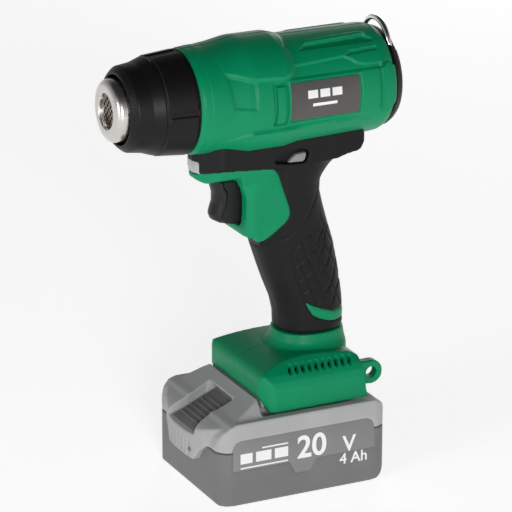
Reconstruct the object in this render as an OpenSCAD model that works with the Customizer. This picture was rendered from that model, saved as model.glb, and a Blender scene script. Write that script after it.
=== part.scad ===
// Cordless heat gun on a sliding battery pack.
// X runs along the barrel (outlet at -X), Y across, Z up.
// The origin is the centre of the battery's flat base.

/* [Barrel] */
// Height of the barrel axis above the battery's base
axis_z = 212.7; // [205:0.1:225]
// Radius of the plain rear part of the barrel
barrel_r = 28.8; // [27:0.1:31]
// Radius of the barrel's raised middle band
band_r = 31.2; // [29.5:0.1:33]
// Wall of the moulded shell
shell_t = 2.6; // [1.8:0.1:3.2]
// Distance from the origin to the rear edge of the green shell
barrel_back = 58.7; // [54:0.1:62]

/* [Outlet] */
// Outside radius of the steel outlet tube
nozzle_r = 16.5; // [14:0.1:18]
// Radius of the hot-air hole in the outlet's face
outlet_r = 9.1; // [7:0.1:12]
// Distance from the origin to the outlet's front face
nozzle_front = 94.5; // [88:0.1:100]
// Sheet thickness of the outlet tube
nozzle_t = 1.0; // [0.6:0.1:1.5]
// Spacing of the outlet mesh
mesh_pitch = 2.6; // [1.8:0.1:4]

/* [Handle] */
// Half width of the handle with its rubber skin
grip_half = 17; // [15:0.1:19]
// Thickness of the rubber skin
grip_t = 2.4; // [1.5:0.1:3]
// Half width of the saddle under the barrel
saddle_half = 18.6; // [17.5:0.1:20]
// Half width of the trigger
trigger_half = 8.4; // [6:0.1:10]
// Free travel of the trigger
trigger_travel = 6; // [3:0.5:8]

/* [Foot] */
// Half width of the foot
foot_half = 35.5; // [33:0.1:37]
// Height of the foot's lower edge above the base
foot_z = 46.2; // [45:0.1:50]
// Spacing of the vent slots along the foot
vent_pitch = 3.9; // [3:0.1:5]

/* [Battery] */
// Length of the battery pack
pack_l = 99.3; // [90:0.1:110]
// Width of the battery pack
pack_w = 80; // [74:0.1:86]
// Height of the split between the two battery shells
pack_split = 30; // [26:0.1:34]
// Wall of the battery shells
pack_t = 2.4; // [2:0.1:3]
// Radius of one cell with its sleeve
cell_r = 9.15; // [9:0.05:9.3]
// Length of one cell
cell_l = 65; // [64:0.5:66]

/* [Fittings] */
// Wire radius of the hanging ring
ring_wire = 1.5; // [1:0.1:2]
// Radius of the hanging ring's arc
ring_r = 15; // [12:0.5:18]
// Radius of the motor can
motor_r = 13.9; // [12:0.1:14.5]
// Radius of the motor shaft
shaft_r = 1; // [0.8:0.05:1.5]
// Tip radius of the fan wheel
fan_r = 23; // [20:0.1:23.5]
// Fineness of round surfaces
round_fn = 72; // [32:4:120]

/* [Hidden] */
$fn = round_fn;
eps = 0.05;
ring_x = 60.6;
ring_z = axis_z + 16;
half_l = pack_l / 2;
half_w = pack_w / 2;
green = [0.02, 0.5, 0.33];
black = [0.13, 0.13, 0.14];
steel = [0.78, 0.79, 0.8];
grey = [0.62, 0.62, 0.62];
dark_grey = [0.46, 0.46, 0.46];

// Outer line of the green shell as [radius, x], closed on the axis
shell_line = [[0, -53], [27.6, -53], [28.2, -46], [28.5, -34], [31, -25], [band_r, -23], [band_r, -2],
  [barrel_r, 4], [barrel_r, 52], [barrel_r - 0.4, 56], [26.6, barrel_back], [0, barrel_back]];
bore_line = [[0, -54], [25.4, -54], [25.4, -45], [25.9, -34], [28.2, -25], [28.4, -22], [28.4, -2],
  [26.2, 4], [26.2, 54], [25.4, 55], [25.4, 59], [0, 59]];

// Side outlines as [x, z]
saddle_side = [[-47.3, 190.6], [-47.3, 173.3], [-45, 174.5], [-43, 175.3], [-40.5, 176.8], [-36, 177.2],
  [-8.4, 174.7], [20, 174.6], [26, 170], [33, 173.6], [40, 175], [46.5, 176], [49, 179], [49.3, 184],
  [47.5, 190.2]];
bridge_side = [[-46, 190], [-46, 176], [-43, 177.6], [-40, 179.2], [-9.5, 178.2], [20, 177.4], [40, 177.7],
  [45.2, 178.4], [46.8, 180.4], [46.8, 189]];
bridge_void = [[-37, 192], [-37, 181.8], [-9.5, 176], [-9.5, 170], [18, 170], [20, 179.5],
  [40, 179.8], [44.6, 181], [44.6, 192]];
panel_side = [[-47.3, 173.3], [-45, 174.5], [-43, 175.3], [-40.5, 176.8], [-36, 177.2], [-8.4, 174.6],
  [-4.3, 170.5], [2, 152.1], [1.4, 146.7], [-5.5, 141.2], [-14.2, 137], [-17.5, 135.6], [-21.5, 136.6],
  [-23.2, 139.5], [-22.6, 143], [-22, 147], [-21.6, 160], [-23, 165], [-27, 168.3], [-33, 169],
  [-41.5, 169], [-45.5, 170.2], [-47.3, 172.4]];
panel_void = [[-24, 172], [-9, 172.6], [-4, 168], [2, 153], [1, 146], [-8, 142], [-16, 140],
  [-20, 141], [-18, 147], [-17.3, 160], [-20, 166.5]];
foot_side = [[-22, 54.6], [-22, 67.4], [-14, 69.6], [-5.7, 71.3], [6, 72.2], [17.8, 71.6], [32.7, 70.4],
  [36.9, 68.4], [38.2, 55], [40, foot_z], [-17.5, foot_z]];
foot_void = [[-19.6, 50], [-19.6, 65.4], [-13.6, 67.2], [-5.5, 68.9], [6, 69.8], [17.8, 69.2], [31, 68],
  [34.4, 66.4], [35.8, 55], [37.4, 44], [-21, 44], [-21, 50]];

// nose_plan(d): the tapered front of the saddle seen from above, drawn in by d
function nose_plan(d) = [[-47.2 + 1.1 * d, -2.4], [-45.5 + d, -6.6 + 0.3 * d], [-43 + 0.9 * d, -12 + 0.5 * d],
  [-40.4 + 0.7 * d, -16 + 0.8 * d], [-36.5 + 0.3 * d, -saddle_half + d], [70, -saddle_half + d],
  [70, saddle_half - d], [-36.5 + 0.3 * d, saddle_half - d], [-40.4 + 0.7 * d, 16 - 0.8 * d],
  [-43 + 0.9 * d, 12 - 0.5 * d], [-45.5 + d, 6.6 - 0.3 * d], [-47.2 + 1.1 * d, 2.4]];

// Bodies about the barrel's axis and side outlines across the tool

// nose(d): the space inside the saddle's outline seen from above, drawn in by d
module nose(d) {
  translate([0, 0, 120])
    linear_extrude(85)
      polygon(nose_plan(d));
}

// turn(line): revolves a [radius, x] outline about the barrel's axis
module turn(line) {
  translate([0, 0, axis_z])
    rotate([0, 90, 0])
      rotate_extrude()
        polygon(line);
}

// rod(x, r, h): a cylinder along +X from x on the barrel's axis
module rod(x, r, h) {
  translate([x, 0, axis_z])
    rotate([0, 90, 0])
      cylinder(r = r, h = h);
}

// side(line, y0, y1): extrudes an [x, z] outline from y0 to y1
module side(line, y0, y1) {
  translate([0, y1, 0])
    rotate([90, 0, 0])
      linear_extrude(y1 - y0)
        polygon(line);
}

// across(p, r, h): a cylinder along Y centred on p
module across(p, r, h) {
  translate(p)
    rotate([90, 0, 0])
      cylinder(r = r, h = h, center = true);
}

// box(x, y, z): a block between pairs of limits
module box(x, y, z) {
  translate([x[0], y[0], z[0]])
    cube([x[1] - x[0], y[1] - y[0], z[1] - z[0]]);
}

// half(s): everything on one side of the parting plane
module half(s) {
  translate([-150, s > 0 ? 0 : -100, -20])
    cube([300, 100, 320]);
}

// wire(points, r): a lead with round bends
module wire(points, r) {
  for (i = [0:len(points) - 2]) {
    a = points[i];
    d = points[i + 1] - a;
    translate(a)
      rotate([0, acos(d[2] / norm(d)), atan2(d[1], d[0])])
        cylinder(r = r, h = norm(d), $fn = 16);
    if (i > 0)
      translate(a)
        sphere(r = r * 1.12, $fn = 24);
  }
}

// coil(r, t, h, turns): a compression spring of flat wire standing on z = 0
module coil(r, t, h, turns) {
  linear_extrude(height = h, twist = -360 * turns, slices = 14 * turns, $fn = 6)
    polygon([[r, 0], [r * cos(40), r * sin(40)], [r * cos(80), r * sin(80)],
      [(r - t) * cos(80), (r - t) * sin(80)], [(r - t) * cos(40), (r - t) * sin(40)], [r - t, 0]]);
}

// slab(x, z, a, b, h): an oval slice of the handle
module slab(x, z, a, b, h) {
  translate([x, 0, z])
    scale([a, b, 1])
      cylinder(r = 1, h = h, $fn = 36);
}

// handle(d): the handle's body drawn in by d
module handle(d) {
  hull() {
    slab(21, 76, 18.6 - d, grip_half - d, 0.5);
    slab(19.6, 98, 19.2 - d, grip_half - d, 0.5);
  }
  hull() {
    slab(19.6, 98, 19.2 - d, grip_half - d, 0.5);
    slab(11.4, 127, 22.3 - d, grip_half + 0.4 - d, 0.5);
  }
  hull() {
    slab(11.4, 127, 22.3 - d, grip_half + 0.4 - d, 0.5);
    slab(4.6, 178, 21.4 - d, grip_half + 0.6 - d, 0.5);
  }
}

// rounded(l, w, r): a rectangle with round corners
module rounded(l, w, r) {
  square([l - 2 * r, w], center = true);
  square([l, w - 2 * r], center = true);
  for (i = [-1, 1])
    for (j = [-1, 1])
      translate([i * (l / 2 - r), j * (w / 2 - r)])
        circle(r);
}

// Green shell: barrel, bridge, trigger surround, handle core and foot

// Screw bosses as [x, z, length of the boss from the parting plane]
screw_at = [[-14, 62, 33.4], [31.5, 84.5, 9], [4, 124, 12], [-14.8, 139.4, 16], [38, 183.2, 15.9], [-30, 183.6, 15.9]];

module foot_form(line, w, top) {
  intersection() {
    side(line, -w, w);
    translate([-40, 0, 0])
      rotate([90, 0, 90])
        linear_extrude(100)
          polygon([[-w, 40], [-w, 60], [-w + 2.5, 66], [-24, top], [24, top], [w - 2.5, 66], [w, 60], [w, 40]]);
  }
}

module foot_vents() {
  for (i = [0:9])
    for (s = [-1, 1])
      translate([-4 + i * vent_pitch, s * 32.5, 67.4])
        rotate([0, 25, 0])
          cube([1.7, 12, 4.6], center = true);
}

module rail_lips(s) {
  box([-20, 35.6], [s > 0 ? 25 : -33.4, s > 0 ? 33.4 : -25], [44, 47.3]);
}

module housing_half(s) {
  color(green)
    intersection() {
      half(s);
      difference() {
        union() {
          difference() {
            union() {
              intersection() {
                side(bridge_side, -20, 20);
                nose(2.5);
              }
              intersection() {
                side(panel_side, -17.4, 17.4);
                nose(0.8);
              }
              handle(grip_t + 0.1);
              foot_form(foot_side, foot_half, 72.4);
              hull() {
                slab(20.5, 78.6, 18.7, 17.2, 0.3);
                slab(19, 70.5, 23, 22, 0.5);
              }
              side([[12, 98.2], [31.8, 91], [32.4, 86.6], [26, 85.4], [15.8, 89.8]], -16.6, 16.6);
            }
            side(bridge_void, -13.9, 13.9);
            side(panel_void, -15.2, 15.2);
            box([-44.3, -42], [-5, 5], [176.4, 181.2]);
            handle(grip_t + 2.3);
            foot_form(foot_void, foot_half - 2.4, 70);
            translate([20, 0, 66])
              cylinder(r = 12, h = 14);
            box([-30, -10], [-trigger_half - 0.5, trigger_half + 0.5], [143.2, 168.2]);
            box([-30, -19], [-30.4, 30.4], [40, 53.2]);
            box([0.6, 9.8], [-30, 30], [177.5, 184]);
            rod(-70, 27, 130);
            rod(-70, 27.8, 16.95);
            foot_vents();
          }
          difference() {
            turn(shell_line);
            turn(bore_line);
            box([14, 27], [-8, 8], [180, 192]);
          }
          rail_lips(s);
          intersection() {
            difference() {
              rod(50.5, 30.8, 7.8);
              rod(50, 28, 9);
            }
            box([50.5, 58.3], [-32, 32], [axis_z - 11, axis_z + 15]);
          }
          for (p = screw_at)
            across([p[0], s * p[2] / 2, p[1]], 3.4, p[2]);
          if (s < 0)
            intersection() {
              side([[36, 50], [36, 65], [44.5, 64.5], [51.2, 59.5], [51.2, 55.5], [44.5, 51]], -30, -24);
              union() {
                across([44.5, -27, 57.7], 6.8, 6);
                box([36, 44.5], [-30, -24], [50.9, 64.5]);
              }
            }
        }
        if (s < 0)
          across([44.5, -27, 57.7], 3, 20);
        for (p = screw_at) {
          if (s > 0) {
            across([p[0], 6, p[1]], 1.6, 30);
            across([p[0], 30, p[1]], 3.1, 50.1);
          } else {
            across([p[0], -2, p[1]], 1.25, 14);
          }
        }
        rotate_label_pocket(s);
      }
    }
}

module rotate_label_pocket(s) {
  intersection() {
    difference() {
      rod(-3.4, barrel_r + 4, 40.3);
      rod(-4, barrel_r - 0.7, 42);
    }
    box([-3.4, 36.9], [s > 0 ? 5 : -40, s > 0 ? 40 : -5], [axis_z - 10.1, axis_z + 10.1]);
  }
}

module label_plate(s) {
  color([0.26, 0.25, 0.25])
    intersection() {
      difference() {
        rod(-3.2, barrel_r, 39.9);
        rod(-4, barrel_r - 0.65, 42);
      }
      box([-3.2, 36.7], [s > 0 ? 5 : -40, s > 0 ? 40 : -5], [axis_z - 10, axis_z + 10]);
    }
}

// Rubber skin: saddle under the barrel and the handle's cover

module grip_half_skin(s) {
  color(black)
    intersection() {
      half(s);
      difference() {
        union() {
          intersection() {
            side(saddle_side, -saddle_half, saddle_half);
            nose(0);
          }
          intersection() {
            handle(0);
            box([-60, 60], [-30, 30], [79.2, 176]);
          }
        }
        intersection() {
          side(bridge_side, -20, 20);
          nose(2.4);
        }
        side(panel_side, -30, 30);
        side([[-26, 135.4], [-12, 136.6], [-2, 142], [-2, 174], [-26, 174]], -14, 14);
        handle(grip_t);
        side([[11.8, 98.5], [32, 91.2], [32.7, 86.4], [26, 85.1], [15.5, 89.6]], -30, 30);
        rod(-70, 27.8, 20);
        rod(-53.1, 28.2, 4);
        turn([for (p = shell_line) [p[0] + (p[0] > 0 ? eps : 0), p[1]]]);
        box([0.6, 9.8], [-30, 30], [177.5, 184]);
        box([-70, -44.9], [-8, 8], [172, 180.6]);
        for (p = screw_at)
          if (s > 0)
            across([p[0], 30, p[1]], 3.1, 44);
      }
    }
}

// Hot end

module nozzle_shroud() {
  color(black)
    turn([[18.3, -87.6], [18.9, -88.5], [19.6, -88.5], [20.3, -87.8], [22.4, -85.4], [22.6, -84.6],
      [23.5, -77], [25.7, -71], [26, -70], [27.4, -55], [27.5, -53.1], [25.3, -53.1], [25.3, -46.2],
      [24.3, -46.2], [24.2, -55], [23.8, -69], [21.5, -76], [20.4, -84], [18.3, -84.6]]);
}

module outlet_nozzle() {
  color(steel)
    turn([[outlet_r, -86], [outlet_r, -nozzle_front + 0.6], [outlet_r + 0.6, -nozzle_front],
      [13.2, -nozzle_front], [14.8, -94.1], [15.9, -93], [nozzle_r, -91.4], [nozzle_r, -87.8],
      [nozzle_r - 0.2, -87.8], [nozzle_r - 0.2, -58],
      [22, -58], [22, -57], [nozzle_r - nozzle_t, -57], [nozzle_r - nozzle_t, -91.4],
      [14.8, -92.6], [13.2, -nozzle_front + nozzle_t], [outlet_r + 0.8, -nozzle_front + nozzle_t],
      [outlet_r + 0.8, -86]]);
}

module outlet_screen() {
  color([0.45, 0.4, 0.36])
    intersection() {
      rod(-91.6, outlet_r - 0.05, 0.8);
      union() {
        for (a = [-45, 45])
          for (i = [-4:4])
            translate([-91.6, 0, axis_z])
              rotate([a, 0, 0])
                translate([0, -12, i * mesh_pitch - 0.35])
                  cube([0.8, 24, 0.7]);
        difference() {
          rod(-91.6, outlet_r, 0.8);
          rod(-92, outlet_r - 0.7, 2);
        }
      }
    }
}

module heater_flange() {
  color([0.82, 0.8, 0.74])
    difference() {
      rod(-56.9, 24, 5);
      rod(-57.5, 16.2, 7);
      for (i = [0:3])
        translate([-57.5, 0, axis_z])
          rotate([45 + 90 * i, 0, 0])
            translate([0, 20.2, 0])
              rotate([0, 90, 0])
                cylinder(r = 1.3, h = 7);
    }
}

module mica_sleeve() {
  color([0.72, 0.62, 0.42])
    difference() {
      rod(-85.8, nozzle_r - nozzle_t - 0.1, 56);
      rod(-86.5, nozzle_r - nozzle_t - 0.6, 58);
    }
}

module heater_core() {
  color([0.86, 0.84, 0.78]) {
    for (a = [0, 90])
      translate([-84, 0, axis_z])
        rotate([a, 0, 0])
          translate([0, -12, -0.5])
            cube([52, 24, 1]);
    difference() {
      rod(-32, 14.8, 1.6);
      for (i = [0:3])
        translate([-33, 0, axis_z])
          rotate([45 + 90 * i, 0, 0])
            translate([0, 7.6, 0])
              rotate([0, 90, 0])
                cylinder(r = 4.2, h = 4);
    }
  }
}

module heater_coil() {
  color([0.55, 0.5, 0.48])
    for (i = [0:13])
      translate([-82 + i * 3.4, 0, axis_z])
        rotate([0, 90, 0])
          rotate_extrude($fn = 48)
            translate([13, 0])
              circle(r = 0.7, $fn = 16);
}

module thermal_fuse() {
  color(steel) {
    translate([-48, 5, axis_z + 5])
      rotate([0, 90, 0])
        cylinder(r = 2, h = 11);
    translate([-37, 5, axis_z + 5])
      rotate([0, 90, 0])
        cylinder(r = 0.5, h = 4.9);
  }
}

// Fan and motor

module motor_can() {
  color([0.6, 0.61, 0.62])
    difference() {
      union() {
        rod(-13, motor_r, 37);
        rod(-15.5, 5, 3);
        rod(23.5, 5, 3);
        for (s = [-1, 1])
          box([23.5, 27.5], [s * 9 - 1.6, s * 9 + 1.6], [axis_z - 6, axis_z - 5.2]);
      }
      rod(-16, shaft_r + 0.04, 44);
      rod(-11, shaft_r + 1.2, 32.6);
    }
}

module motor_mount() {
  color(black) {
    difference() {
      rod(4.6, 26.1, 9);
      rod(4, 23.4, 11);
    }
    difference() {
      rod(4.6, 16, 9);
      rod(4, motor_r + 0.02, 11);
    }
    for (i = [0:3])
      translate([4.6, 0, axis_z])
        rotate([45 + 90 * i, 0, 0])
          translate([0, 15.8, -1.2])
            cube([9, 7.8, 2.4]);
  }
}

module fan_duct() {
  color(black)
    turn([[26.1, 29], [26.1, 51.5], [24.4, 51.5], [24.4, 30.5], [19, 29.6], [19, 28.4], [25.4, 28.4]]);
}

module motor_shaft() {
  color(steel)
    rod(-17.5, shaft_r, 61);
}

module impeller() {
  color([0.2, 0.2, 0.22])
    difference() {
      union() {
        rod(33, 7.5, 10);
        for (i = [0:8])
          translate([38, 0, axis_z])
            rotate([40 * i, 0, 0])
              translate([0, 0, 7])
                rotate([0, 0, 38])
                  translate([-6, -0.6, 0])
                    cube([12, 1.2, fan_r - 7.4]);
      }
      rod(32, shaft_r + 0.001, 13);
    }
}

module rear_cap() {
  color(black)
    difference() {
      union() {
        difference() {
          turn([[0, 58.75], [26.6, 58.75], [26.6, 60.2], [25.4, 62.4], [24, 64], [20, 66], [14, 66.4], [0, 66.4]]);
          turn([[0, 50], [24.2, 50], [24.2, 60.2], [23, 62], [20, 63.6], [14, 64], [0, 64]]);
          for (i = [0:15])
            translate([60, 0, axis_z])
              rotate([22.5 * i + 11.25, 0, 0])
                translate([0, 8, -1.2])
                  cube([9, 11, 2.4]);
        }
        difference() {
          rod(52, 25.3, 6.75);
          rod(51, 23.2, 9);
        }
        intersection() {
          turn([[0, 58.75], [26.6, 58.75], [26.6, 60.2], [25.4, 62.4], [24, 64], [20, 66], [0, 66]]);
          box([58.75, 64], [-19.2, 19.2], [axis_z + 11.8, axis_z + 24.4]);
        }
      }
      for (s = [-1, 1])
        box([58.8, 70], [s * ring_r - (s > 0 ? 2.6 : 1.95), s * ring_r + (s > 0 ? 1.95 : 2.6)],
          [ring_z - 2.1, ring_z + 20]);
      for (s = [-1, 1])
        box([58.8, 70], [s > 0 ? 10.4 : -17, s > 0 ? 17 : -10.4], [ring_z + 1.9, ring_z + 20]);
      across([ring_x, 0, ring_z], ring_wire + 0.06, 2 * ring_r);
    }
}

module hanging_ring() {
  color(steel) {
    translate([ring_x, 0, ring_z])
      rotate([90, 0, 90])
        rotate_extrude(angle = 180)
          translate([ring_r, 0])
            circle(r = ring_wire, $fn = 32);
    for (s = [-1, 1]) {
      translate([ring_x, s * ring_r, ring_z])
        sphere(r = ring_wire, $fn = 32);
      across([ring_x, s * (ring_r - 2.9), ring_z], ring_wire, 5.8);
    }
  }
}

// Trigger, lock-off button and switch

module trigger() {
  color(black) {
    side([[-35.9, 167.5], [-35.2, 164], [-34.4, 160.6], [-34.7, 155.7], [-35.9, 152.1], [-36.5, 149.4],
      [-35.4, 146.6], [-32.4, 144.8], [-28, 144], [-13, 145.6], [-13, 167.5]], -trigger_half, trigger_half);
    box([-16.6, -12.4], [-11.6, 11.6], [150, 166]);
  }
}

module trigger_spring() {
  color(steel)
    translate([-12.2, 0, 158])
      rotate([0, 90, 0])
        coil(3.9, 0.8, 9.9, 4.5);
}

module trigger_switch() {
  color([0.16, 0.16, 0.17]) {
    box([-2, 16], [-8, 8], [149, 168]);
    translate([-5.6, 0, 158])
      rotate([0, 90, 0])
        cylinder(r = 2, h = 4);
    for (s = [-1, 1])
      box([2, 8], [s * 4 - 0.4, s * 4 + 0.4], [144, 149.5]);
  }
}

module lock_off_button() {
  color([0.66, 0.67, 0.68]) {
    box([1.5, 8.9], [-13, 13], [178, 181.2]);
    for (s = [-1, 1])
      box([1, 9.4], [s > 0 ? 12.8 : -18.3, s > 0 ? 18.3 : -12.8], [178, 183.4]);
  }
}

module led_lens() {
  color([0.82, 0.83, 0.82])
    intersection() {
      difference() {
        nose(0.1);
        nose(2.2);
      }
      box([-60, -45.1], [-7.8, 7.8], [174.6, 180.4]);
    }
}

module led_board() {
  color([0.1, 0.35, 0.2]) {
    box([-43.6, -42.4], [-4.6, 4.6], [178.3, 181]);
    box([-44, -43.6], [-1.5, 1.5], [178.3, 180]);
  }
}

// Boards, terminals and leads

module control_board() {
  color([0.1, 0.35, 0.2]) {
    box([10, 26], [1, 2.6], [86, 116]);
    box([13, 24], [-5, 1], [90, 101]);
    translate([15, 0, 109])
      rotate([90, 0, 0])
        cylinder(r = 3.2, h = 6);
    box([11, 14], [0, 1], [103, 106]);
  }
}

module terminal_block() {
  color(black)
    box([4, 30], [-20, 20], [54.2, 62]);
}

module terminal_blades() {
  color([0.8, 0.68, 0.4])
    for (y = [-15, -5, 5, 15])
      box([7, 24], [y - 0.4, y + 0.4], [47.4, 54.2]);
}

module heater_leads() {
  color([0.75, 0.12, 0.1])
    for (s = [-1, 1])
      wire([[18.5, s * 2.4, 116], [18.5, s * 2.4, 178], [20, s * 3.6, 194.2], [-2, s * 4.6, 193.2], [-27, s * 3.6, 194],
        [-30.2, s * 5, 206]], 1);
}

module motor_leads() {
  color([0.1, 0.1, 0.1])
    for (s = [-1, 1])
      wire([[18.5, s * 5.4, 116], [18.5, s * 5.4, 178], [22, s * 6.6, 190], [26.5, s * 9, 203],
        [26.5, s * 9, 206.4]], 0.8);
}

module supply_leads() {
  color([0.75, 0.12, 0.1])
    for (s = [-1, 1])
      wire([[16, s * 5, 62.2], [16, s * 5, 76], [18, s * 4, 85.8]], 1.2);
}

module housing_screws() {
  color([0.3, 0.3, 0.32])
    for (p = screw_at) {
      across([p[0], 6.5, p[1]], 2.9, 3);
      across([p[0], 0, p[1]], 1.25, 11);
    }
}

// Battery

module pack_plan(d) {
  rounded(pack_l - 2 * d, pack_w - 2 * d, 9 - d);
}

module pack_tray() {
  color(dark_grey)
    difference() {
      intersection() {
        linear_extrude(pack_split)
          pack_plan(0);
        translate([0, half_w + 1, 0])
          rotate([90, 0, 0])
            linear_extrude(pack_w + 2)
              polygon(concat([[-half_l, 2], [-half_l + 2, 0]],
                [for (a = [0:15:90]) [half_l - 9.5 + 9.5 * sin(a), 9.5 - 9.5 * cos(a)]],
                [[half_l, pack_split], [-half_l, pack_split]]));
      }
      intersection() {
        translate([0, 0, 2.2])
          linear_extrude(pack_split)
            pack_plan(pack_t);
        side(concat([[-60, 2]], [for (a = [0:15:90]) [37.1 + 9.35 * sin(a), 11.5 - 9.35 * cos(a)]],
          [[half_l - pack_t, 12], [half_l - pack_t, 40], [-60, 40]]), -60, 60);
      }
      label_form(0.15, 0.8);
      for (x = [-38, 38])
        for (y = [-35.4, 35.4])
          translate([x, y, -1])
            cylinder(r = 1.3, h = 8);
      for (x = [-38, 38])
        for (y = [-35.4, 35.4])
          translate([x, y, -1])
            cylinder(r = 2.3, h = 2.2);
    }
}

// label_form(d, t): the outline of both side labels, grown by d and t deep
module label_form(d, t) {
  line = [[-42 - d, 19.4 - d], [-9 - d, 19.4 - d], [-5, 12.3 - d], [3, 12.3 - d], [7, 19 - d],
    [41.5 + d, 19 - d], [41.5 + d, 33 + d], [38.5 + d, 36 + d], [-39 - d, 36 + d], [-42 - d, 33 + d]];
  side(line, -half_w - 1, -half_w + t);
  side([for (p = line) [-p[0], p[1]]], half_w - t, half_w + 1);
}

module battery_labels() {
  color([0.55, 0.55, 0.55])
    intersection() {
      label_form(0, 0.6);
      box([-50, 50], [-half_w + 0.2, half_w - 0.2], [0, 60]);
    }
}

module pack_lid() {
  color(grey)
    difference() {
      union() {
        intersection() {
          translate([0, 0, pack_split])
            linear_extrude(25)
              pack_plan(0);
          side([[-half_l, 29], [-half_l, 34], [-47, 41], [-43, 45.7], [43, 45.7], [48.5, 41.5],
            [half_l, 39], [half_l, 29]], -60, 60);
        }
        intersection() {
          side([[-half_l + 2, 30], [-54.5, 31], [-54.8, 34.4], [-48, 43.6], [-30, 50.4], [-22.6, 53],
            [-22.6, 40], [-30, 30]], -34, 34);
          translate([0, 0, 30])
            linear_extrude(30)
              polygon([[-40, -34], [-47, -30], [-52, -22], [-54.8, -14], [-54.8, 14], [-52, 22],
                [-47, 30], [-40, 34], [0, 34], [0, -34]]);
        }
        side([[-20.4, 43.4], [34, 43.4], [34, 47.8], [-20.4, 47.8]], -24.4, 24.4);
        side([[-20.4, 47.7], [34, 47.7], [34, 51], [33, 52.3], [-20.4, 52.3]], -29.4, 29.4);
        side([[-51.6, 30.5], [-51.6, 15], [-50.8, 14], [-49.7, 14], [-49.7, 30.5]], -14, 14);
      }
      intersection() {
        translate([0, 0, 29])
          linear_extrude(12.3)
            pack_plan(pack_t);
        side([[-60, 20], [-60, 33], [-46.4, 36.5], [-42, 41.3], [44, 41.3], [46.5, 38.5], [60, 36], [60, 20]], -60, 60);
      }
      for (s = [-1, 1])
        box([-21.8, 60], [s > 0 ? 24.5 : -34.3, s > 0 ? 34.3 : -24.5], [43.5, 47.6]);
      for (s = [-1, 1])
        box([-21.8, 60], [s > 0 ? 29.5 : -34.3, s > 0 ? 34.3 : -29.5], [43.5, 60]);
      box([34.1, 60], [-34.3, 34.3], [43.5, 60]);
      for (y = [-15, -5, 5, 15])
        box([2, 40], [y - 2.7, y + 2.7], [46, 60]);
      box([-16, 30], [-22, 22], [40, 43.9]);
      side([[-58, 30.9], [-53.6, 31.2], [-46, 35], [-38, 38.6], [-29, 42], [-22, 43.2], [-22, 48.5],
        [-18, 48.5], [-18, 60], [-27.4, 60], [-28.6, 53], [-47, 46], [-58, 38]], -12.5, 12.5);
      label_form(0.15, 0.8);
      for (y = [-8.4, -2.8, 2.8, 8.4])
        box([-53, -51.1], [y - 1.1, y + 1.1], [17.6, 28.4]);
      translate([-54, -12.2, 21])
        rotate([0, 90, 0])
          cylinder(r = 1.5, h = 3.7);
    }
}

module cell_grid() {
  for (i = [-2:2])
    for (z = [11.5, 29.9])
      translate([i * 18.4 + 0.3, 0, z])
        children();
}

module cells() {
  color([0.15, 0.35, 0.6])
    cell_grid()
      rotate([90, 0, 0])
        cylinder(r = cell_r, h = cell_l, center = true, $fn = 48);
}

module cell_holder() {
  color(black)
    for (s = [-1, 1])
      difference() {
        box([-46.2, 46.6], [s * 28 - 2.5, s * 28 + 2.5], [2.4, 36.1]);
        cell_grid()
          rotate([90, 0, 0])
            cylinder(r = cell_r + 0.02, h = 70, center = true);
        box([35, 60], [-40, 40], [0, 11]);
      }
}

module nickel_strips() {
  color([0.75, 0.75, 0.72])
    for (s = [-1, 1])
      for (i = [-2:2])
        box([i * 18.4 - 3.7, i * 18.4 + 4.3], [s * 32.7 - 0.15, s * 32.7 + 0.15], [5, 36.4]);
}

module battery_board() {
  color([0.1, 0.35, 0.2]) {
    box([-15, 29], [-21, 21], [40.2, 41.6]);
    box([-8, 6], [-12, 12], [41.6, 43.4]);
  }
}

module battery_terminals() {
  color([0.8, 0.68, 0.4])
    for (y = [-15, -5, 5, 15])
      for (s = [-1, 1])
        box([8, 22], [y + s * 1.5 - 0.3, y + s * 1.5 + 0.3], [46, 51.6]);
}

module gauge_panel() {
  color([0.25, 0.25, 0.26])
    for (y = [-8.4, -2.8, 2.8, 8.4])
      box([-51.5, -51.1], [y - 1.1, y + 1.1], [17.6, 28.4]);
}

module gauge_leds() {
  color([0.4, 0.85, 0.45])
    for (y = [-8.4, -2.8, 2.8, 8.4])
      box([-51.8, -51.5], [y - 0.7, y + 0.7], [18.4, 27.6]);
}

module gauge_button() {
  color([0.3, 0.3, 0.31])
    translate([-52.2, -12.2, 21])
      rotate([0, 90, 0])
        cylinder(r = 1.2, h = 1.2);
}

module battery_screws() {
  color([0.3, 0.3, 0.32])
    for (x = [-38, 38])
      for (y = [-35.4, 35.4]) {
        translate([x, y, 0.2])
          cylinder(r = 2.1, h = 1);
        translate([x, y, 0.2])
          cylinder(r = 1.3, h = 6);
      }
}

module latch_button() {
  color(dark_grey) {
    side([[-52.8, 34.4], [-52.8, 36.4], [-46, 40.4], [-38, 44], [-29, 47.6], [-26.9, 50.2], [-26.4, 52.8],
      [-23, 52.8], [-23, 48], [-28, 45.6], [-38, 42], [-46, 38.4]], -11.8, 11.8);
    for (i = [0:3])
      translate([-34 - i * 3.6, 0, 45.5 - i * 1.62])
        rotate([0, -23.5, 0])
          cube([1.4, 20, 2.2], center = true);
  }
}

module latch_spring() {
  color(steel)
    translate([-24.6, 0, 43.4])
      coil(2.2, 0.5, 2.7, 2);
}

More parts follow.
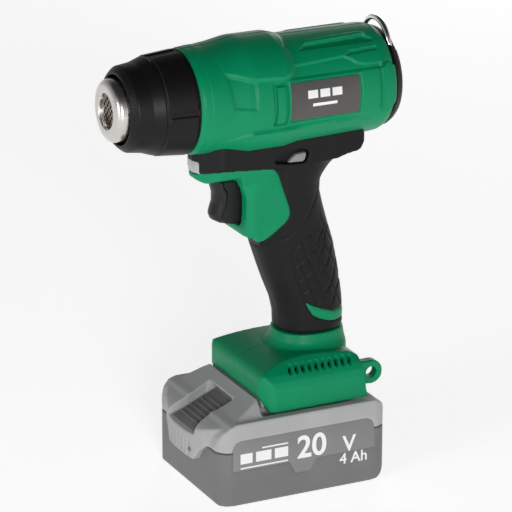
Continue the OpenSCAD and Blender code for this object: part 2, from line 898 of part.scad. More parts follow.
housing_half(-1);  // housing_left
housing_half(1);  // housing_right
grip_half_skin(-1);  // grip_left
grip_half_skin(1);  // grip_right
nozzle_shroud();
outlet_nozzle();
outlet_screen();
heater_flange();
heater_core();
heater_coil();
mica_sleeve();
thermal_fuse();
motor_can();
motor_mount();
fan_duct();
rear_cap();
trigger_switch();
led_lens();
led_board();
control_board();
terminal_block();
terminal_blades();
label_plate(-1);  // label_left
label_plate(1);  // label_right
housing_screws();
heater_leads();
motor_leads();
supply_leads();
motor_shaft();
impeller();
trigger();
trigger_spring();
lock_off_button();
hanging_ring();
pack_tray();  // battery_tray
pack_lid();  // battery_lid
cell_holder();
cells();
nickel_strips();
battery_board();
battery_terminals();
gauge_panel();
gauge_leds();
battery_labels();
battery_screws();
latch_button();
latch_spring();
gauge_button();
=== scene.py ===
# %% [markdown]
# # A cordless heat gun
# The tool has a round barrel, a rubber-skinned handle, a wide foot and a battery that slides on.
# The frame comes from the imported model: every piece below is placed in that frame, in metres,
# and rides on the body that carries it.

# %% Load the frame
import bpy, bmesh, math
import numpy as np
from mathutils import Vector, Matrix


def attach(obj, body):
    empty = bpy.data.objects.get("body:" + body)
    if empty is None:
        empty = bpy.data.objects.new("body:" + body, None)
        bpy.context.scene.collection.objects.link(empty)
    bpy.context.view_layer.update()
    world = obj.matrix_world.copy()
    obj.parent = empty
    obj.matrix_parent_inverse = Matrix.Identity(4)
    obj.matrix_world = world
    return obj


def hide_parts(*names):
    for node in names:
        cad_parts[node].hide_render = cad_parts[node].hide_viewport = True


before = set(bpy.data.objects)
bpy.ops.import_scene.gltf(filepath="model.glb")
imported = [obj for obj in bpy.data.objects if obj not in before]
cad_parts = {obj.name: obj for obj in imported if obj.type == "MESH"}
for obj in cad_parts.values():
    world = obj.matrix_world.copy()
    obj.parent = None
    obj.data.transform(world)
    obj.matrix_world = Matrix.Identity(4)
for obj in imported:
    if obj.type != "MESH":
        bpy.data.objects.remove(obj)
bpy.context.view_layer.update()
MM = 0.001
AXIS_Z = 212.7

# %% [markdown]
# The camera stands low in front and to the left of the tool, with a long lens, so that the
# barrel and the battery keep nearly parallel edges. A wide pale floor and three large soft
# lights give the plain studio look.

# %% Camera, floor and light
def aim(obj, target):
    """Turns obj so that its -Z axis points at target."""
    way = Vector(target) - obj.location
    obj.rotation_euler = way.to_track_quat("-Z", "Y").to_euler()

camera = bpy.data.objects.new("camera", bpy.data.cameras.new("camera"))
bpy.context.scene.collection.objects.link(camera)
camera.data.lens = 233.6
camera.data.clip_end = 20
camera.location = (-0.7310, -1.4875, 0.7012)
aim(camera, (-0.00932, 0.00003, 0.12195))
bpy.context.scene.camera = camera

def soft_light(name, place, target, size, watts):
    """A round studio panel of a size in metres."""
    lamp = bpy.data.lights.new(name, "AREA")
    lamp.shape = "DISK"
    lamp.size = size
    lamp.energy = watts
    obj = bpy.data.objects.new(name, lamp)
    bpy.context.scene.collection.objects.link(obj)
    obj.location = place
    aim(obj, target)

# %% Soft panels and the sky
middle = (0, 0, 0.13)
soft_light("key_light", (-0.6, -1.9, 0.55), middle, 0.6, 16)
soft_light("front_light", (-1.9, -0.7, 0.55), middle, 0.9, 9)
soft_light("back_light", (1.2, 1.6, 0.6), middle, 1.0, 5)
world = bpy.data.worlds.new("studio")
bpy.context.scene.world = world
world.use_nodes = True
sky = world.node_tree
height = sky.nodes.new("ShaderNodeSeparateXYZ")
sky.links.new(sky.nodes.new("ShaderNodeTexCoord").outputs["Generated"], height.inputs[0])
fade = sky.nodes.new("ShaderNodeMapRange")
fade.inputs["From Min"].default_value = 0.0
fade.inputs["From Max"].default_value = 0.75
fade.inputs["To Min"].default_value = 0.62
fade.inputs["To Max"].default_value = 0.03
sky.links.new(height.outputs["Z"], fade.inputs["Value"])
sky.links.new(fade.outputs["Result"], sky.nodes["Background"].inputs["Strength"])
sky.nodes["Background"].inputs["Color"].default_value = (1, 1, 1, 1)
bpy.context.scene.view_settings.view_transform = "Standard"
print("camera", [round(v, 3) for v in camera.location], "lens", round(camera.data.lens, 1), "mm")

# %% [markdown]
# Small helpers keep the cells short: one clears the selection before every operator, one
# makes a solid from a side outline, and one applies a modifier at once.

# %% Helpers for shaping
def clear_selection():
    if bpy.context.object and bpy.context.object.mode != "OBJECT":
        bpy.ops.object.mode_set(mode="OBJECT")
    bpy.ops.object.select_all(action="DESELECT")

def only(obj):
    clear_selection()
    obj.select_set(True)
    bpy.context.view_layer.objects.active = obj

def settle(obj, name=None):
    """Moves the object's place into its mesh and names it."""
    only(obj)
    bpy.ops.object.transform_apply(location=True, rotation=True, scale=True)
    if name:
        obj.name = name
        obj.data.name = name
    return obj

# %% Starting solids
def block(x, y, z, name="block"):
    """A box between pairs of limits in millimetres."""
    clear_selection()
    bpy.ops.mesh.primitive_cube_add(size=1, location=[(a[0] + a[1]) / 2 * MM for a in (x, y, z)])
    obj = bpy.context.object
    obj.scale = [(a[1] - a[0]) * MM for a in (x, y, z)]
    return settle(obj, name)

def drum(p, r, h, turn=(0, 0, 0), sides=48, name="drum"):
    """A cylinder centred on p, in millimetres."""
    clear_selection()
    place = [v * MM for v in p]
    bpy.ops.mesh.primitive_cylinder_add(vertices=sides, radius=r * MM, depth=h * MM, location=place,
                                        rotation=turn)
    return settle(bpy.context.object, name)

ALONG_X = (0, math.pi / 2, 0)
ALONG_Y = (math.pi / 2, 0, 0)

def outline(points, low, high, axis="y", name="outline"):
    """A solid with a flat outline, extruded along an axis. Points are millimetres."""
    def spot(a, b, c):
        return {"y": (a, c, b), "x": (c, a, b), "z": (a, b, c)}[axis]
    mesh = bpy.data.meshes.new(name)
    mesh.from_pydata([[v * MM for v in spot(a, b, low)] for a, b in points], [],
                     [list(range(len(points)))])
    obj = bpy.data.objects.new(name, mesh)
    bpy.context.scene.collection.objects.link(obj)
    only(obj)
    bpy.ops.object.mode_set(mode="EDIT")
    bpy.ops.mesh.select_all(action="SELECT")
    push = {"y": (0, high - low, 0), "x": (high - low, 0, 0), "z": (0, 0, high - low)}[axis]
    bpy.ops.mesh.extrude_region_move(TRANSFORM_OT_translate={"value": [v * MM for v in push]})
    bpy.ops.mesh.select_all(action="SELECT")
    bpy.ops.mesh.normals_make_consistent(inside=False)
    bpy.ops.object.mode_set(mode="OBJECT")
    return obj

# %% Modifiers applied at once
def use(obj, kind, **settings):
    """Adds a modifier, sets it and applies it."""
    only(obj)
    mod = obj.modifiers.new(kind.lower(), kind)
    for key, value in settings.items():
        setattr(mod, key, value)
    bpy.ops.object.modifier_apply(modifier=mod.name)
    return obj

def carve(obj, cutter, way="DIFFERENCE"):
    """Cuts one solid with another, which is used up."""
    use(obj, "BOOLEAN", operation=way, object=cutter, solver="EXACT")
    bpy.data.objects.remove(cutter, do_unlink=True)
    return obj

def soften(obj, width, segments=3, angle=30):
    """Rounds every edge that is sharper than angle degrees."""
    return use(obj, "BEVEL", width=width * MM, segments=segments, limit_method="ANGLE",
               angle_limit=math.radians(angle), harden_normals=False)

def smooth(obj, angle=35):
    only(obj)
    bpy.ops.object.shade_smooth_by_angle(angle=math.radians(angle))
    return obj

def join(parts, name):
    """Makes one object of several."""
    clear_selection()
    for p in parts:
        p.select_set(True)
    bpy.context.view_layer.objects.active = parts[0]
    bpy.ops.object.join()
    parts[0].name = name
    parts[0].data.name = name
    return parts[0]

def copied(obj, place, lean):
    """A copy with its own mesh, leaned about Y in degrees and then moved to a place in millimetres."""
    copy = obj.copy()
    copy.data = obj.data.copy()
    bpy.context.scene.collection.objects.link(copy)
    move = Matrix.Translation(Vector(place) * MM)
    copy.data.transform(move @ Matrix.Rotation(math.radians(lean), 4, "Y"))
    return copy

# %% Reading and writing vertex places
def verts(obj):
    """The vertex places in millimetres."""
    a = np.empty(len(obj.data.vertices) * 3)
    obj.data.vertices.foreach_get("co", a)
    return a.reshape(-1, 3) * 1000

def put(obj, a):
    obj.data.vertices.foreach_set("co", (a / 1000).ravel())
    obj.data.update()

def normals(obj):
    a = np.empty(len(obj.data.vertices) * 3)
    obj.data.vertices.foreach_get("normal", a)
    return a.reshape(-1, 3)

# %% [markdown]
# Moulded relief is easiest to think of as a drawing on the unrolled surface: a closed outline,
# how far a point lies inside it, and a soft step at its edge. These two helpers do that.

# %% Helpers for relief
def depth_in(points, u, v):
    """Signed distance to a closed outline: positive inside."""
    p = np.array(points, float)
    q = np.roll(p, -1, axis=0)
    best = np.full(u.shape, 1e9)
    inside = np.zeros(u.shape, bool)
    for (ax, ay), (bx, by) in zip(p, q):
        ex, ey = bx - ax, by - ay
        t = np.clip(((u - ax) * ex + (v - ay) * ey) / (ex * ex + ey * ey + 1e-12), 0, 1)
        best = np.minimum(best, np.hypot(u - ax - t * ex, v - ay - t * ey))
        if ay != by:
            cross = ((ay > v) != (by > v)) & (u < (bx - ax) * (v - ay) / (by - ay) + ax)
            inside ^= cross
    return np.where(inside, best, -best)

def step(d, width):
    """A soft step from 0 to 1 about d = 0."""
    t = np.clip(d / width + 0.5, 0, 1)
    return t * t * (3 - 2 * t)

# %% [markdown]
# Every finish is built from nodes. Moulded plastic gets a fine spark-eroded grain and a faint
# change of tone, metal gets drawn streaks and a varying gloss. Colour and gloss that don't
# vary stay on the shader's own sockets.

# %% Finish helpers
def shader(name):
    mat = bpy.data.materials.new(name)
    mat.use_nodes = True
    nodes, links = mat.node_tree.nodes, mat.node_tree.links
    bsdf = nodes["Principled BSDF"]
    coord = nodes.new("ShaderNodeTexCoord")
    return mat, nodes, links, bsdf, coord

def noise(nodes, links, source, scale, detail=3, stretch=None):
    tex = nodes.new("ShaderNodeTexNoise")
    tex.inputs["Scale"].default_value = scale
    tex.inputs["Detail"].default_value = detail
    if stretch:
        mapping = nodes.new("ShaderNodeMapping")
        mapping.inputs["Scale"].default_value = stretch
        links.new(source, mapping.inputs["Vector"])
        source = mapping.outputs["Vector"]
    links.new(source, tex.inputs["Vector"])
    return tex

def ramp(nodes, links, source, low, high, at=(0.3, 0.7)):
    r = nodes.new("ShaderNodeValToRGB")
    r.color_ramp.elements[0].position, r.color_ramp.elements[1].position = at
    r.color_ramp.elements[0].color = (*low, 1)
    r.color_ramp.elements[1].color = (*high, 1)
    links.new(source, r.inputs["Fac"])
    return r

def spread(nodes, links, source, low, high):
    m = nodes.new("ShaderNodeMapRange")
    m.inputs["To Min"].default_value = low
    m.inputs["To Max"].default_value = high
    links.new(source, m.inputs["Value"])
    return m.outputs["Result"]

def moulded(name, colour, rough=0.45, grain=0.05, grain_size=2600, vary=0.06, specular=0.5, coat=0.0):
    """Moulded plastic or rubber."""
    mat, nodes, links, bsdf, coord = shader(name)
    obj = coord.outputs["Object"]
    slow = noise(nodes, links, obj, 35, 2)
    tone = ramp(nodes, links, slow.outputs["Fac"], [c * (1 - vary) for c in colour],
                [c * (1 + vary) for c in colour])
    links.new(tone.outputs["Color"], bsdf.inputs["Base Color"])
    fine = noise(nodes, links, obj, grain_size, 2)
    links.new(spread(nodes, links, slow.outputs["Fac"], rough - 0.05, rough + 0.05),
              bsdf.inputs["Roughness"])
    bump = nodes.new("ShaderNodeBump")
    bump.inputs["Strength"].default_value = grain * 4
    bump.inputs["Distance"].default_value = 0.0001
    links.new(fine.outputs["Fac"], bump.inputs["Height"])
    links.new(bump.outputs["Normal"], bsdf.inputs["Normal"])
    bsdf.inputs["Specular IOR Level"].default_value = specular
    bsdf.inputs["Coat Weight"].default_value = coat
    bsdf.inputs["Coat Roughness"].default_value = 0.2
    return mat

# %% Metal
def metal(name, colour, rough=0.2, streak=(3, 300, 300), vary=0.12, wobble=0.1):
    """Drawn or turned metal with fine streaks."""
    mat, nodes, links, bsdf, coord = shader(name)
    obj = coord.outputs["Object"]
    lines = noise(nodes, links, obj, 8, 3, streak)
    tone = ramp(nodes, links, lines.outputs["Fac"], [c * (1 - vary) for c in colour], [min(1,
                                                            c * (1 + vary)) for c in colour])
    links.new(tone.outputs["Color"], bsdf.inputs["Base Color"])
    links.new(spread(nodes, links, lines.outputs["Fac"], max(0.03, rough - 0.07), rough + 0.1),
              bsdf.inputs["Roughness"])
    bump = nodes.new("ShaderNodeBump")
    bump.inputs["Strength"].default_value = wobble
    bump.inputs["Distance"].default_value = 0.00005
    links.new(lines.outputs["Fac"], bump.inputs["Height"])
    links.new(bump.outputs["Normal"], bsdf.inputs["Normal"])
    bsdf.inputs["Metallic"].default_value = 1.0
    return mat

# %% The finishes
green_shell = moulded("green_shell", (0.0002, 0.236, 0.098), 0.4, 0.05, specular=0.18, coat=0.0)
black_shell = moulded("black_shell", (0.0055, 0.0055, 0.006), 0.42, 0.07, specular=0.2)
black_rubber = moulded("black_rubber", (0.0062, 0.0062, 0.0066), 0.5, 0.12, 1500, specular=0.2)
trigger_black = moulded("trigger_black", (0.009, 0.009, 0.0105), 0.4, 0.07, specular=0.28)
grey_plastic = moulded("grey_plastic", (0.24, 0.24, 0.245), 0.45, 0.05)
label_plate = moulded("label_plate", (0.07, 0.064, 0.062), 0.38, 0.05, 3000, vary=0.12)
pack_light = moulded("pack_light", (0.38, 0.38, 0.383), 0.5, 0.06, specular=0.25)
pack_dark = moulded("pack_dark", (0.165, 0.165, 0.167), 0.5, 0.06, specular=0.25)
pack_label = moulded("pack_label", (0.215, 0.215, 0.217), 0.42, 0.03, specular=0.25)
print_white = moulded("print_white", (0.82, 0.82, 0.82), 0.45, 0.02, vary=0.02)
lens_plastic = moulded("lens_plastic", (0.3, 0.31, 0.31), 0.2, 0.01, vary=0.4, coat=0.5)
board_mask = moulded("board_mask", (0.01, 0.09, 0.035), 0.35, 0.1, 500, vary=0.3)
ceramic_body = moulded("ceramic_body", (0.72, 0.69, 0.6), 0.7, 0.15, 900)
mica_sheet = moulded("mica_sheet", (0.45, 0.33, 0.17), 0.35, 0.12, 260, vary=0.3, coat=0.3)
red_lead = moulded("red_lead", (0.4, 0.02, 0.015), 0.4, 0.03)
black_lead = moulded("black_lead", (0.02, 0.02, 0.02), 0.4, 0.03)
cell_sleeve = moulded("cell_sleeve", (0.03, 0.11, 0.3), 0.3, 0.02, coat=0.3)
bright_steel = metal("bright_steel", (0.62, 0.6, 0.57), 0.24, (3, 300, 300), 0.08, 0.05)
ring_steel = metal("ring_steel", (0.86, 0.85, 0.83), 0.07, (60, 60, 60), 0.05, 0.03)
mesh_metal = metal("mesh_metal", (0.32, 0.27, 0.22), 0.35, (200, 200, 200), 0.3)
heater_metal = metal("heater_metal", (0.3, 0.25, 0.22), 0.45, (200, 200, 200), 0.25)
zinc_plate = metal("zinc_plate", (0.55, 0.56, 0.58), 0.3, (20, 200, 200))
nickel_plate = metal("nickel_plate", (0.7, 0.69, 0.64), 0.25, (100, 300, 20))
contact_metal = metal("contact_metal", (0.8, 0.62, 0.3), 0.25, (20, 200, 200))
screw_metal = metal("screw_metal", (0.1, 0.1, 0.11), 0.4, (300, 300, 20))
floor_finish = moulded("floor_finish", (0.9, 0.9, 0.9), 0.7, 0.02, 400, vary=0.01, specular=0.1)
floor_finish.node_tree.nodes["Principled BSDF"].inputs["Emission Color"].default_value = (1, 1, 1, 1)
floor_finish.node_tree.nodes["Principled BSDF"].inputs["Emission Strength"].default_value = 0.66

print("materials in the file:", len(bpy.data.materials))

# %% Dressing a piece, and the floor
def dress(obj, material):
    obj.data.materials.clear()
    obj.data.materials.append(material)
    return obj

def finish_piece(obj, body, material, replaces=()):
    """Dresses a piece, lets it ride on a body and hides the CAD nodes it stands for."""
    dress(obj, material)
    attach(obj, body)
    if replaces:
        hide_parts(*replaces)
    print(obj.name, "triangles", sum(len(p.vertices) - 2 for p in obj.data.polygons))
    return obj

clear_selection()
bpy.ops.mesh.primitive_plane_add(size=12)
floor = settle(bpy.context.object, "floor")
dress(floor, floor_finish)

# %% [markdown]
# ## The green barrel
# The shell is a tube with a raised hood on top, a belly that grows out of the saddle, a slot
# with a rib, a sunk name plate and long grooves near the top. One fine sheet is wrapped into
# the tube, and each feature is a soft step in its radius.

# %% A sheet wrapped into a tube
def wrap_tube(profile, name, around, along, x_lo, x_hi):
    """A fine tube about the barrel's axis. profile gives (x, radius) of the outside."""
    clear_selection()
    bpy.ops.mesh.primitive_grid_add(x_subdivisions=along, y_subdivisions=around, size=1)
    obj = settle(bpy.context.object, name)
    p = verts(obj) / 1000
    u = (p[:, 0] + 0.5) * (x_hi - x_lo) + x_lo
    a = (p[:, 1] + 0.5) * 2 * math.pi
    line = np.array(profile, float)
    r = np.interp(u, line[:, 0], line[:, 1])
    return obj, u, a, r

def close_tube(obj, u, a, r, merge=0.01):
    p = np.stack([u, -r * np.cos(a), AXIS_Z + r * np.sin(a)], 1)
    put(obj, p)
    only(obj)
    bpy.ops.object.mode_set(mode="EDIT")
    bpy.ops.mesh.select_all(action="SELECT")
    bpy.ops.mesh.remove_doubles(threshold=merge * MM)
    bpy.ops.mesh.normals_make_consistent(inside=False)
    bpy.ops.object.mode_set(mode="OBJECT")
    return obj

def side_angles(a):
    """The angle round the tube, and the height in degrees, which is the same on both sides."""
    turn = (a + math.pi) % (2 * math.pi) - math.pi      # 0 faces the left side, +pi/2 is the top
    height = np.where(np.abs(turn) > math.pi / 2, np.sign(turn) * math.pi - turn, turn)
    return turn, np.degrees(height)

# %% Barrel: the turned line
side_line = [(-53, 27.4), (-51.2, 27.6), (-50.8, 27.9), (-47.6, 28.15), (-47.2, 28.0), (-46.6, 28.35),
             (-34, 28.6),
             (-26, 29.6), (-8, 29.6), (4, 28.9), (51, 28.9), (54.5, 28.6), (57, 27.6), (58.7, 26.4),
             (58.7, 24.6)]
shell, u, a, r = wrap_tube(side_line, "barrel_shell", 400, 200, -53, 58.7)
# the last stretch turns in to the rim's inner edge
edge = u > 58.6
u = np.where(edge, 58.7, u)
turn, height = side_angles(a)
ARC = 0.506      # millimetres of the barrel's arc for one degree
h = height * ARC

def at(points):
    """Turns (x, degrees above the middle) into (x, arc millimetres)."""
    return [(x, deg * ARC) for x, deg in points]

# %% Barrel: hood and belly
hood_line = [(-41, 75), (-37.7, 40.5), (-25.4, 28.2), (-6.5, 25.6), (-1, 29), (1.6, 38.3), (1.9, 54.8),
             (-0.8, 60), (1.5, 75), (3, 100), (-41, 100)]
hood = step(depth_in(at(hood_line), u, h), 1.6)
hood_r = np.interp(u, [-41, -40, -34, -25, -22, -4, 0, 4], [28.5, 28.6, 29.3, 30.9, 31.2, 31.2, 30.2,
                                                            28.9])
belly_line = [(-39.8, -38.2), (-36.7, -36.3), (-23.8, -26.7), (-2.1, -26.9), (30, -24.5), (36, -27),
              (46, -34), (50, -44), (50, -100), (-41, -100)]
belly = step(depth_in(at(belly_line), u, h), 1.4)
belly_r = np.interp(u, [-41, -34, -23, -3, 6, 30, 50], [28.5, 29.6, 31.6, 31.6, 30.2, 29.6, 29.0])
r = r + hood * np.maximum(hood_r - r, 0) + belly * np.maximum(belly_r - r, 0)
print("hood and belly points", int((hood > 0.5).sum()), int((belly > 0.5).sum()))

# %% Barrel: facets, slot, name plate and grooves
facet = depth_in(at([(-37.4, 37.6), (-34.8, 2), (-22.5, -1.5), (-22.0, 26)]), u, h)
r -= 0.75 * step(facet, 1.6) * (1 - hood)
ledge = depth_in(at([(-2, 25.5), (1.5, 38), (30.6, 42.0), (34.5, 37), (37, 32.5), (42, 30), (50.2, 30),
                     (50.2, 25), (-2, 25)]), u, h)
r -= 0.9 * step(ledge, 1.0) * (1 - hood)
slot = step(depth_in(at([(-12.9, 21.6), (-4.2, 20.6), (-4.2, -22.4), (-12.5, -22.4)]), u, h), 0.7)
rib = step(depth_in(at([(-10.9, 18.9), (-5.7, 18.4), (-5.7, -21.2), (-10.9, -21.2)]), u, h), 0.7)
r -= 1.5 * slot - 1.35 * rib
plate = depth_in(at([(-3.0, 22), (37.9, 21.6), (37.9, -20.4), (-3.0, -20.8)]), u, h)
r -= 0.75 * step(plate, 0.6)
lip = depth_in(at([(-3.6, 23.4), (38.8, 23), (38.8, -21.8), (-3.6, -22.2)]), u, h)
r += 0.28 * step(lip, 0.8) * (1 - step(plate, 0.6))
channel = depth_in(at([(7.2, 55.5), (11.5, 62.5), (46.6, 66.8), (50.5, 59.5), (49.6, 56)]), u, h)
fall = np.clip((height - 50) / 14, 0.15, 1)
r -= 1.7 * step(channel, 0.8) * fall
bar = depth_in(at([(11.5, 63.2), (14, 69), (45, 72.2), (48.2, 67)]), u, h)
r += 0.6 * step(bar, 1.2)
groove = depth_in(at([(32.5, 42.6), (35, 47.4), (50.4, 49.2), (50.4, 45.4)]), u, h)
r -= 1.2 * step(groove, 0.8)
mark = depth_in(at([(24, -27.6), (33.5, -25.4), (33, -28.6), (24, -29)]), u, h)
r -= 0.7 * step(mark, 0.8)
# %% Barrel: rear tabs, seam and wall
tab = depth_in(at([(50.4, 24), (54, 30.5), (58.9, 25), (59.5, 0), (58.9, -13), (54.5, -22), (50.4, -20)]),
               u, h)
r += 1.5 * step(tab, 0.9) * (1 + 0.04 * (u - 54))
moat = depth_in(at([(49.3, 26), (54, 33), (60, 28), (60, -16), (55, -24), (49.3, -22)]), u, h)
r -= 0.5 * step(moat, 0.8) * (1 - step(tab, 0.9))
rail = np.minimum(np.abs(turn - math.pi / 2), np.abs(turn + math.pi / 2)) * 29
r -= 0.35 * np.exp(-(rail / 0.35) ** 2)
shell = close_tube(shell, u, a, r)
use(shell, "SOLIDIFY", thickness=1.6 * MM, offset=-1)
smooth(shell, 50)
finish_piece(shell, "tool", green_shell, ("housing_left", "housing_right"))

# %% [markdown]
# ## The black shroud
# A stepped guard surrounds the outlet. Its big ring carries broad pads with thin slots between.

# %% Shroud
shroud_line = [(-88.5, 18.4), (-88.5, 19.3), (-88.2, 19.9), (-87.4, 20.7), (-85.8, 22.1), (-85, 22.5),
               (-77.4, 23.5), (-76.6, 23.8),
               (-71.6, 25.5), (-70.6, 25.9), (-55, 27.3), (-53.6, 27.35), (-53.1, 26.9), (-53.05, 25.4)]
line = np.array(shroud_line, float)
run = np.r_[0, np.cumsum(np.hypot(np.diff(line[:, 0]), np.diff(line[:, 1])))]
shroud, t, a, _ = wrap_tube([(0, 0), (1, 1)], "nozzle_shroud_skin", 330, 110, 0, run[-1])
u = np.interp(t, run, line[:, 0])
r = np.interp(t, run, line[:, 1])
PAD_ARC = 0.46      # millimetres of the shroud's arc for one degree
h = side_angles(a)[1] * PAD_ARC
pads = np.zeros_like(u)
for low, high in ((4, 84), (-84, -1)):
    foot_edge = low * PAD_ARC
    top_edge = high * PAD_ARC
    pad_line = [(-70.2, foot_edge + 2), (-69, foot_edge), (-54.4, foot_edge + 0.6),
                (-54.4, top_edge), (-69, top_edge), (-70.2, top_edge - 2)]
    pad = depth_in(pad_line, u, h)
    pads = np.maximum(pads, step(pad, 0.7))
r += np.where(u > -71.5, 0.8 * pads - 0.6, 0) * step(u + 71.2, 0.8) * step(-53.8 - u, 0.8)
shroud = close_tube(shroud, u, a, r)
use(shroud, "SOLIDIFY", thickness=1.5 * MM, offset=-1)
smooth(shroud, 40)
finish_piece(shroud, "tool", black_shell, ("nozzle_shroud",))

# %% [markdown]
# ## Saddle, handle and trigger surround
# These read as one soft moulding with a seam between rubber and plastic. Three simple solids
# are joined, melted together, and then divided along the seam line, with a groove pressed in.

# %% Handle form
def oval_loft(rows, name, sides=64, power=2.3):
    """A closed solid through oval slices: (z, front x, rear x, half width)."""
    mesh = bpy.data.meshes.new(name)
    obj = bpy.data.objects.new(name, mesh)
    bpy.context.scene.collection.objects.link(obj)
    bm = bmesh.new()
    ring_before = None
    for z, front, rear, half in rows:
        ring = []
        for i in range(sides):
            t = 2 * math.pi * i / sides
            c, q = math.cos(t), math.sin(t)
            c = math.copysign(abs(c) ** (2 / power), c)
            q = math.copysign(abs(q) ** (2 / power), q)
            x = (front + rear) / 2 + (rear - front) / 2 * c
            ring.append(bm.verts.new((x * MM, half * q * MM, z * MM)))
        if ring_before:
            for i in range(sides):
                bm.faces.new((ring_before[i], ring_before[(i + 1) % sides], ring[(i + 1) % sides],
                              ring[i]))
        else:
            bm.faces.new(list(reversed(ring)))
        ring_before = ring
    bm.faces.new(ring_before)
    bm.to_mesh(mesh)
    bm.free()
    return obj

handle_rows = [
    (79.4, 2.9, 38.7, 16.0), (81, 2.3, 39.4, 16.9), (88, 2.1, 39.4, 17.2),
    (96, 0.3, 38.9, 17.2), (105, -3.4, 37.8, 17.1), (116, -7.9, 36.0, 17.2),
    (127, -11.6, 33.7, 17.3), (134, -13.5, 31.9, 17.4), (142, -15, 29.5, 17.5),
    (150, -15.5, 27.3, 17.6), (157, -15.5, 25.6, 17.8), (163, -15.5, 25.8, 18),
    (167.5, -15.5, 28.0, 18.2), (171.5, -15.5, 31.4, 18.4), (174, -15.5, 34.6, 18.6),
    (176.4, -15.5, 38.6, 18.6), (179, -15.5, 42, 18.6),
]
handle = oval_loft(handle_rows, "handle")

# %% Saddle and trigger surround
def nose_line(d):
    """The saddle's tapered front seen from above, drawn in by d."""
    near = [(-47.2 + d, -2.4), (-45.5 + d, -6.6 + 0.3 * d), (-43 + 0.9 * d, -12 + 0.5 * d),
            (-40.4 + 0.7 * d, -16 + 0.8 * d),
            (-38.6 + 0.5 * d, -17.8 + d), (-36 + 0.3 * d, -18.6 + d), (70, -18.6 + d)]
    return near + [(x, -y) for x, y in reversed(near)]
saddle_line = [(-49.6, 190.6), (-48.4, 183.4), (-47.3, 178), (-46.9, 173.0), (-45, 174.3), (-43, 175.2),
               (-40.5, 176.5), (-36, 176.8), (-8.4, 174.6), (20, 175.0), (30, 176.0), (35, 177.6),
               (40.8, 178.4), (43.0, 179.6), (44.6, 182.4), (45.0, 187), (44.4, 190), (40, 193), (0, 193),
               (-40, 193)]
saddle = outline(saddle_line, -18.7, 18.7, name="saddle")
carve(saddle, outline(nose_line(-0.1), 150, 200, "z"), "INTERSECT")
soften(saddle, 1.0, 3, 60)
panel_line = [(-46.8, 178.5), (-46.9, 172.6), (-46.2, 170.8), (-45, 170.0), (-41.5, 169.0), (-33, 168.8),
              (-27, 168.2), (-23.6, 165.5), (-22.2, 160),
              (-22.3, 150), (-22.6, 146), (-23.6, 143.4), (-24.2, 141.2), (-23.4, 139.2), (-20.4, 138.4),
              (-17.8, 137.4), (-16.6, 135.2), (-15.0, 133.4), (-12.0, 132.6), (-4, 134), (3, 146),
              (5, 150), (5, 178.5)]
panel = outline(panel_line, -17.4, 17.4, name="panel")
cheeks = outline(nose_line(0.5), 168.0, 200, "z")
lower = outline([(-24.8, -7), (-24.4, -11), (-23.6, -14), (-21.6, -16.2), (-18.6, -17.2), (-16, -17.5),
                 (70, -17.5), (70, 17.5), (-16, 17.5), (-18.6, 17.2), (-21.6, 16.2), (-23.6, 14),
                 (-24.4, 11), (-24.8, 7)], 120, 168.4, "z")
carve(cheeks, lower, "UNION")
carve(panel, cheeks, "INTERSECT")
for side in (-1, 1):
    bevel = outline([(side * 6, 165), (side * 7, 168.2), (side * 15.5, 172.2), (side * 22, 172.8),
                     (side * 22, 160), (side * 8, 160)], -50, -25.2, "x")
    carve(panel, bevel)
soften(panel, 1.2, 3, 55)

# %% One moulding, with its pockets
form = join([handle, saddle, panel], "grip_form")
use(form, "REMESH", mode="VOXEL", voxel_size=0.62 * MM)
carve(form, block((-60, -6), (-8.9, 8.9), (143.4, 168.6)))
pocket = outline([(-7.6, 178.0), (-6.4, 181.0), (-4.2, 183.4), (0, 184.0), (7.6, 184.2), (11.4, 183.2),
                  (12.6, 180.8), (11.4, 177.2), (9.4, 176.2), (2, 176.6)], -40, 40, name="pocket")
carve(pocket, block((-60, 60), (-15.6, 15.6), (100, 250)))
carve(form, pocket)
lens_seat = block((-70, -44.6), (-6.6, 6.6), (174.6, 180.4))
carve(form, lens_seat)
use(form, "REMESH", mode="VOXEL", voxel_size=0.62 * MM)
use(form, "SMOOTH", factor=0.5, iterations=5)
print("grip form", len(form.data.vertices))

# %% Seams, net pattern and division
p = verts(form)
n = normals(form)
seam_line = [(-60, 172.6), (-47, 173.2), (-45, 174.3), (-43, 175.2), (-40.5, 176.6), (-36, 177.0),
             (-27, 176.4), (-8.4, 174.8), (-5.9, 173.0), (-4.3, 170.5), (-2.3, 164),
             (0.1, 157), (1.8, 152.1), (2.1, 149.2), (1.4, 146.7), (-1.3, 143.8), (-4.6, 141.4),
             (-9.6, 138.0), (-13.2, 136.2), (-17.6, 135.5), (-22, 135.2), (-60, 134)]
wedge_line = [(11.9, 97.5), (16.1, 95.1), (22.6, 92.4), (28.6, 90.3), (50, 90.0), (50, 84.0), (30.4, 84.7),
              (26.2, 85.4), (20.3, 87.5), (16.1, 89.9), (13.7, 93.6)]
green_d = np.maximum(depth_in(seam_line, p[:, 0], p[:, 2]), depth_in(wedge_line, p[:, 0], p[:, 2]))
def line_gap(points, u, v):
    """Distance to an open line."""
    best = np.full(u.shape, 1e9)
    for (ax, ay), (bx, by) in zip(points[:-1], points[1:]):
        ex, ey = bx - ax, by - ay
        t = np.clip(((u - ax) * ex + (v - ay) * ey) / (ex * ex + ey * ey + 1e-12), 0, 1)
        best = np.minimum(best, np.hypot(u - ax - t * ex, v - ay - t * ey))
    return best

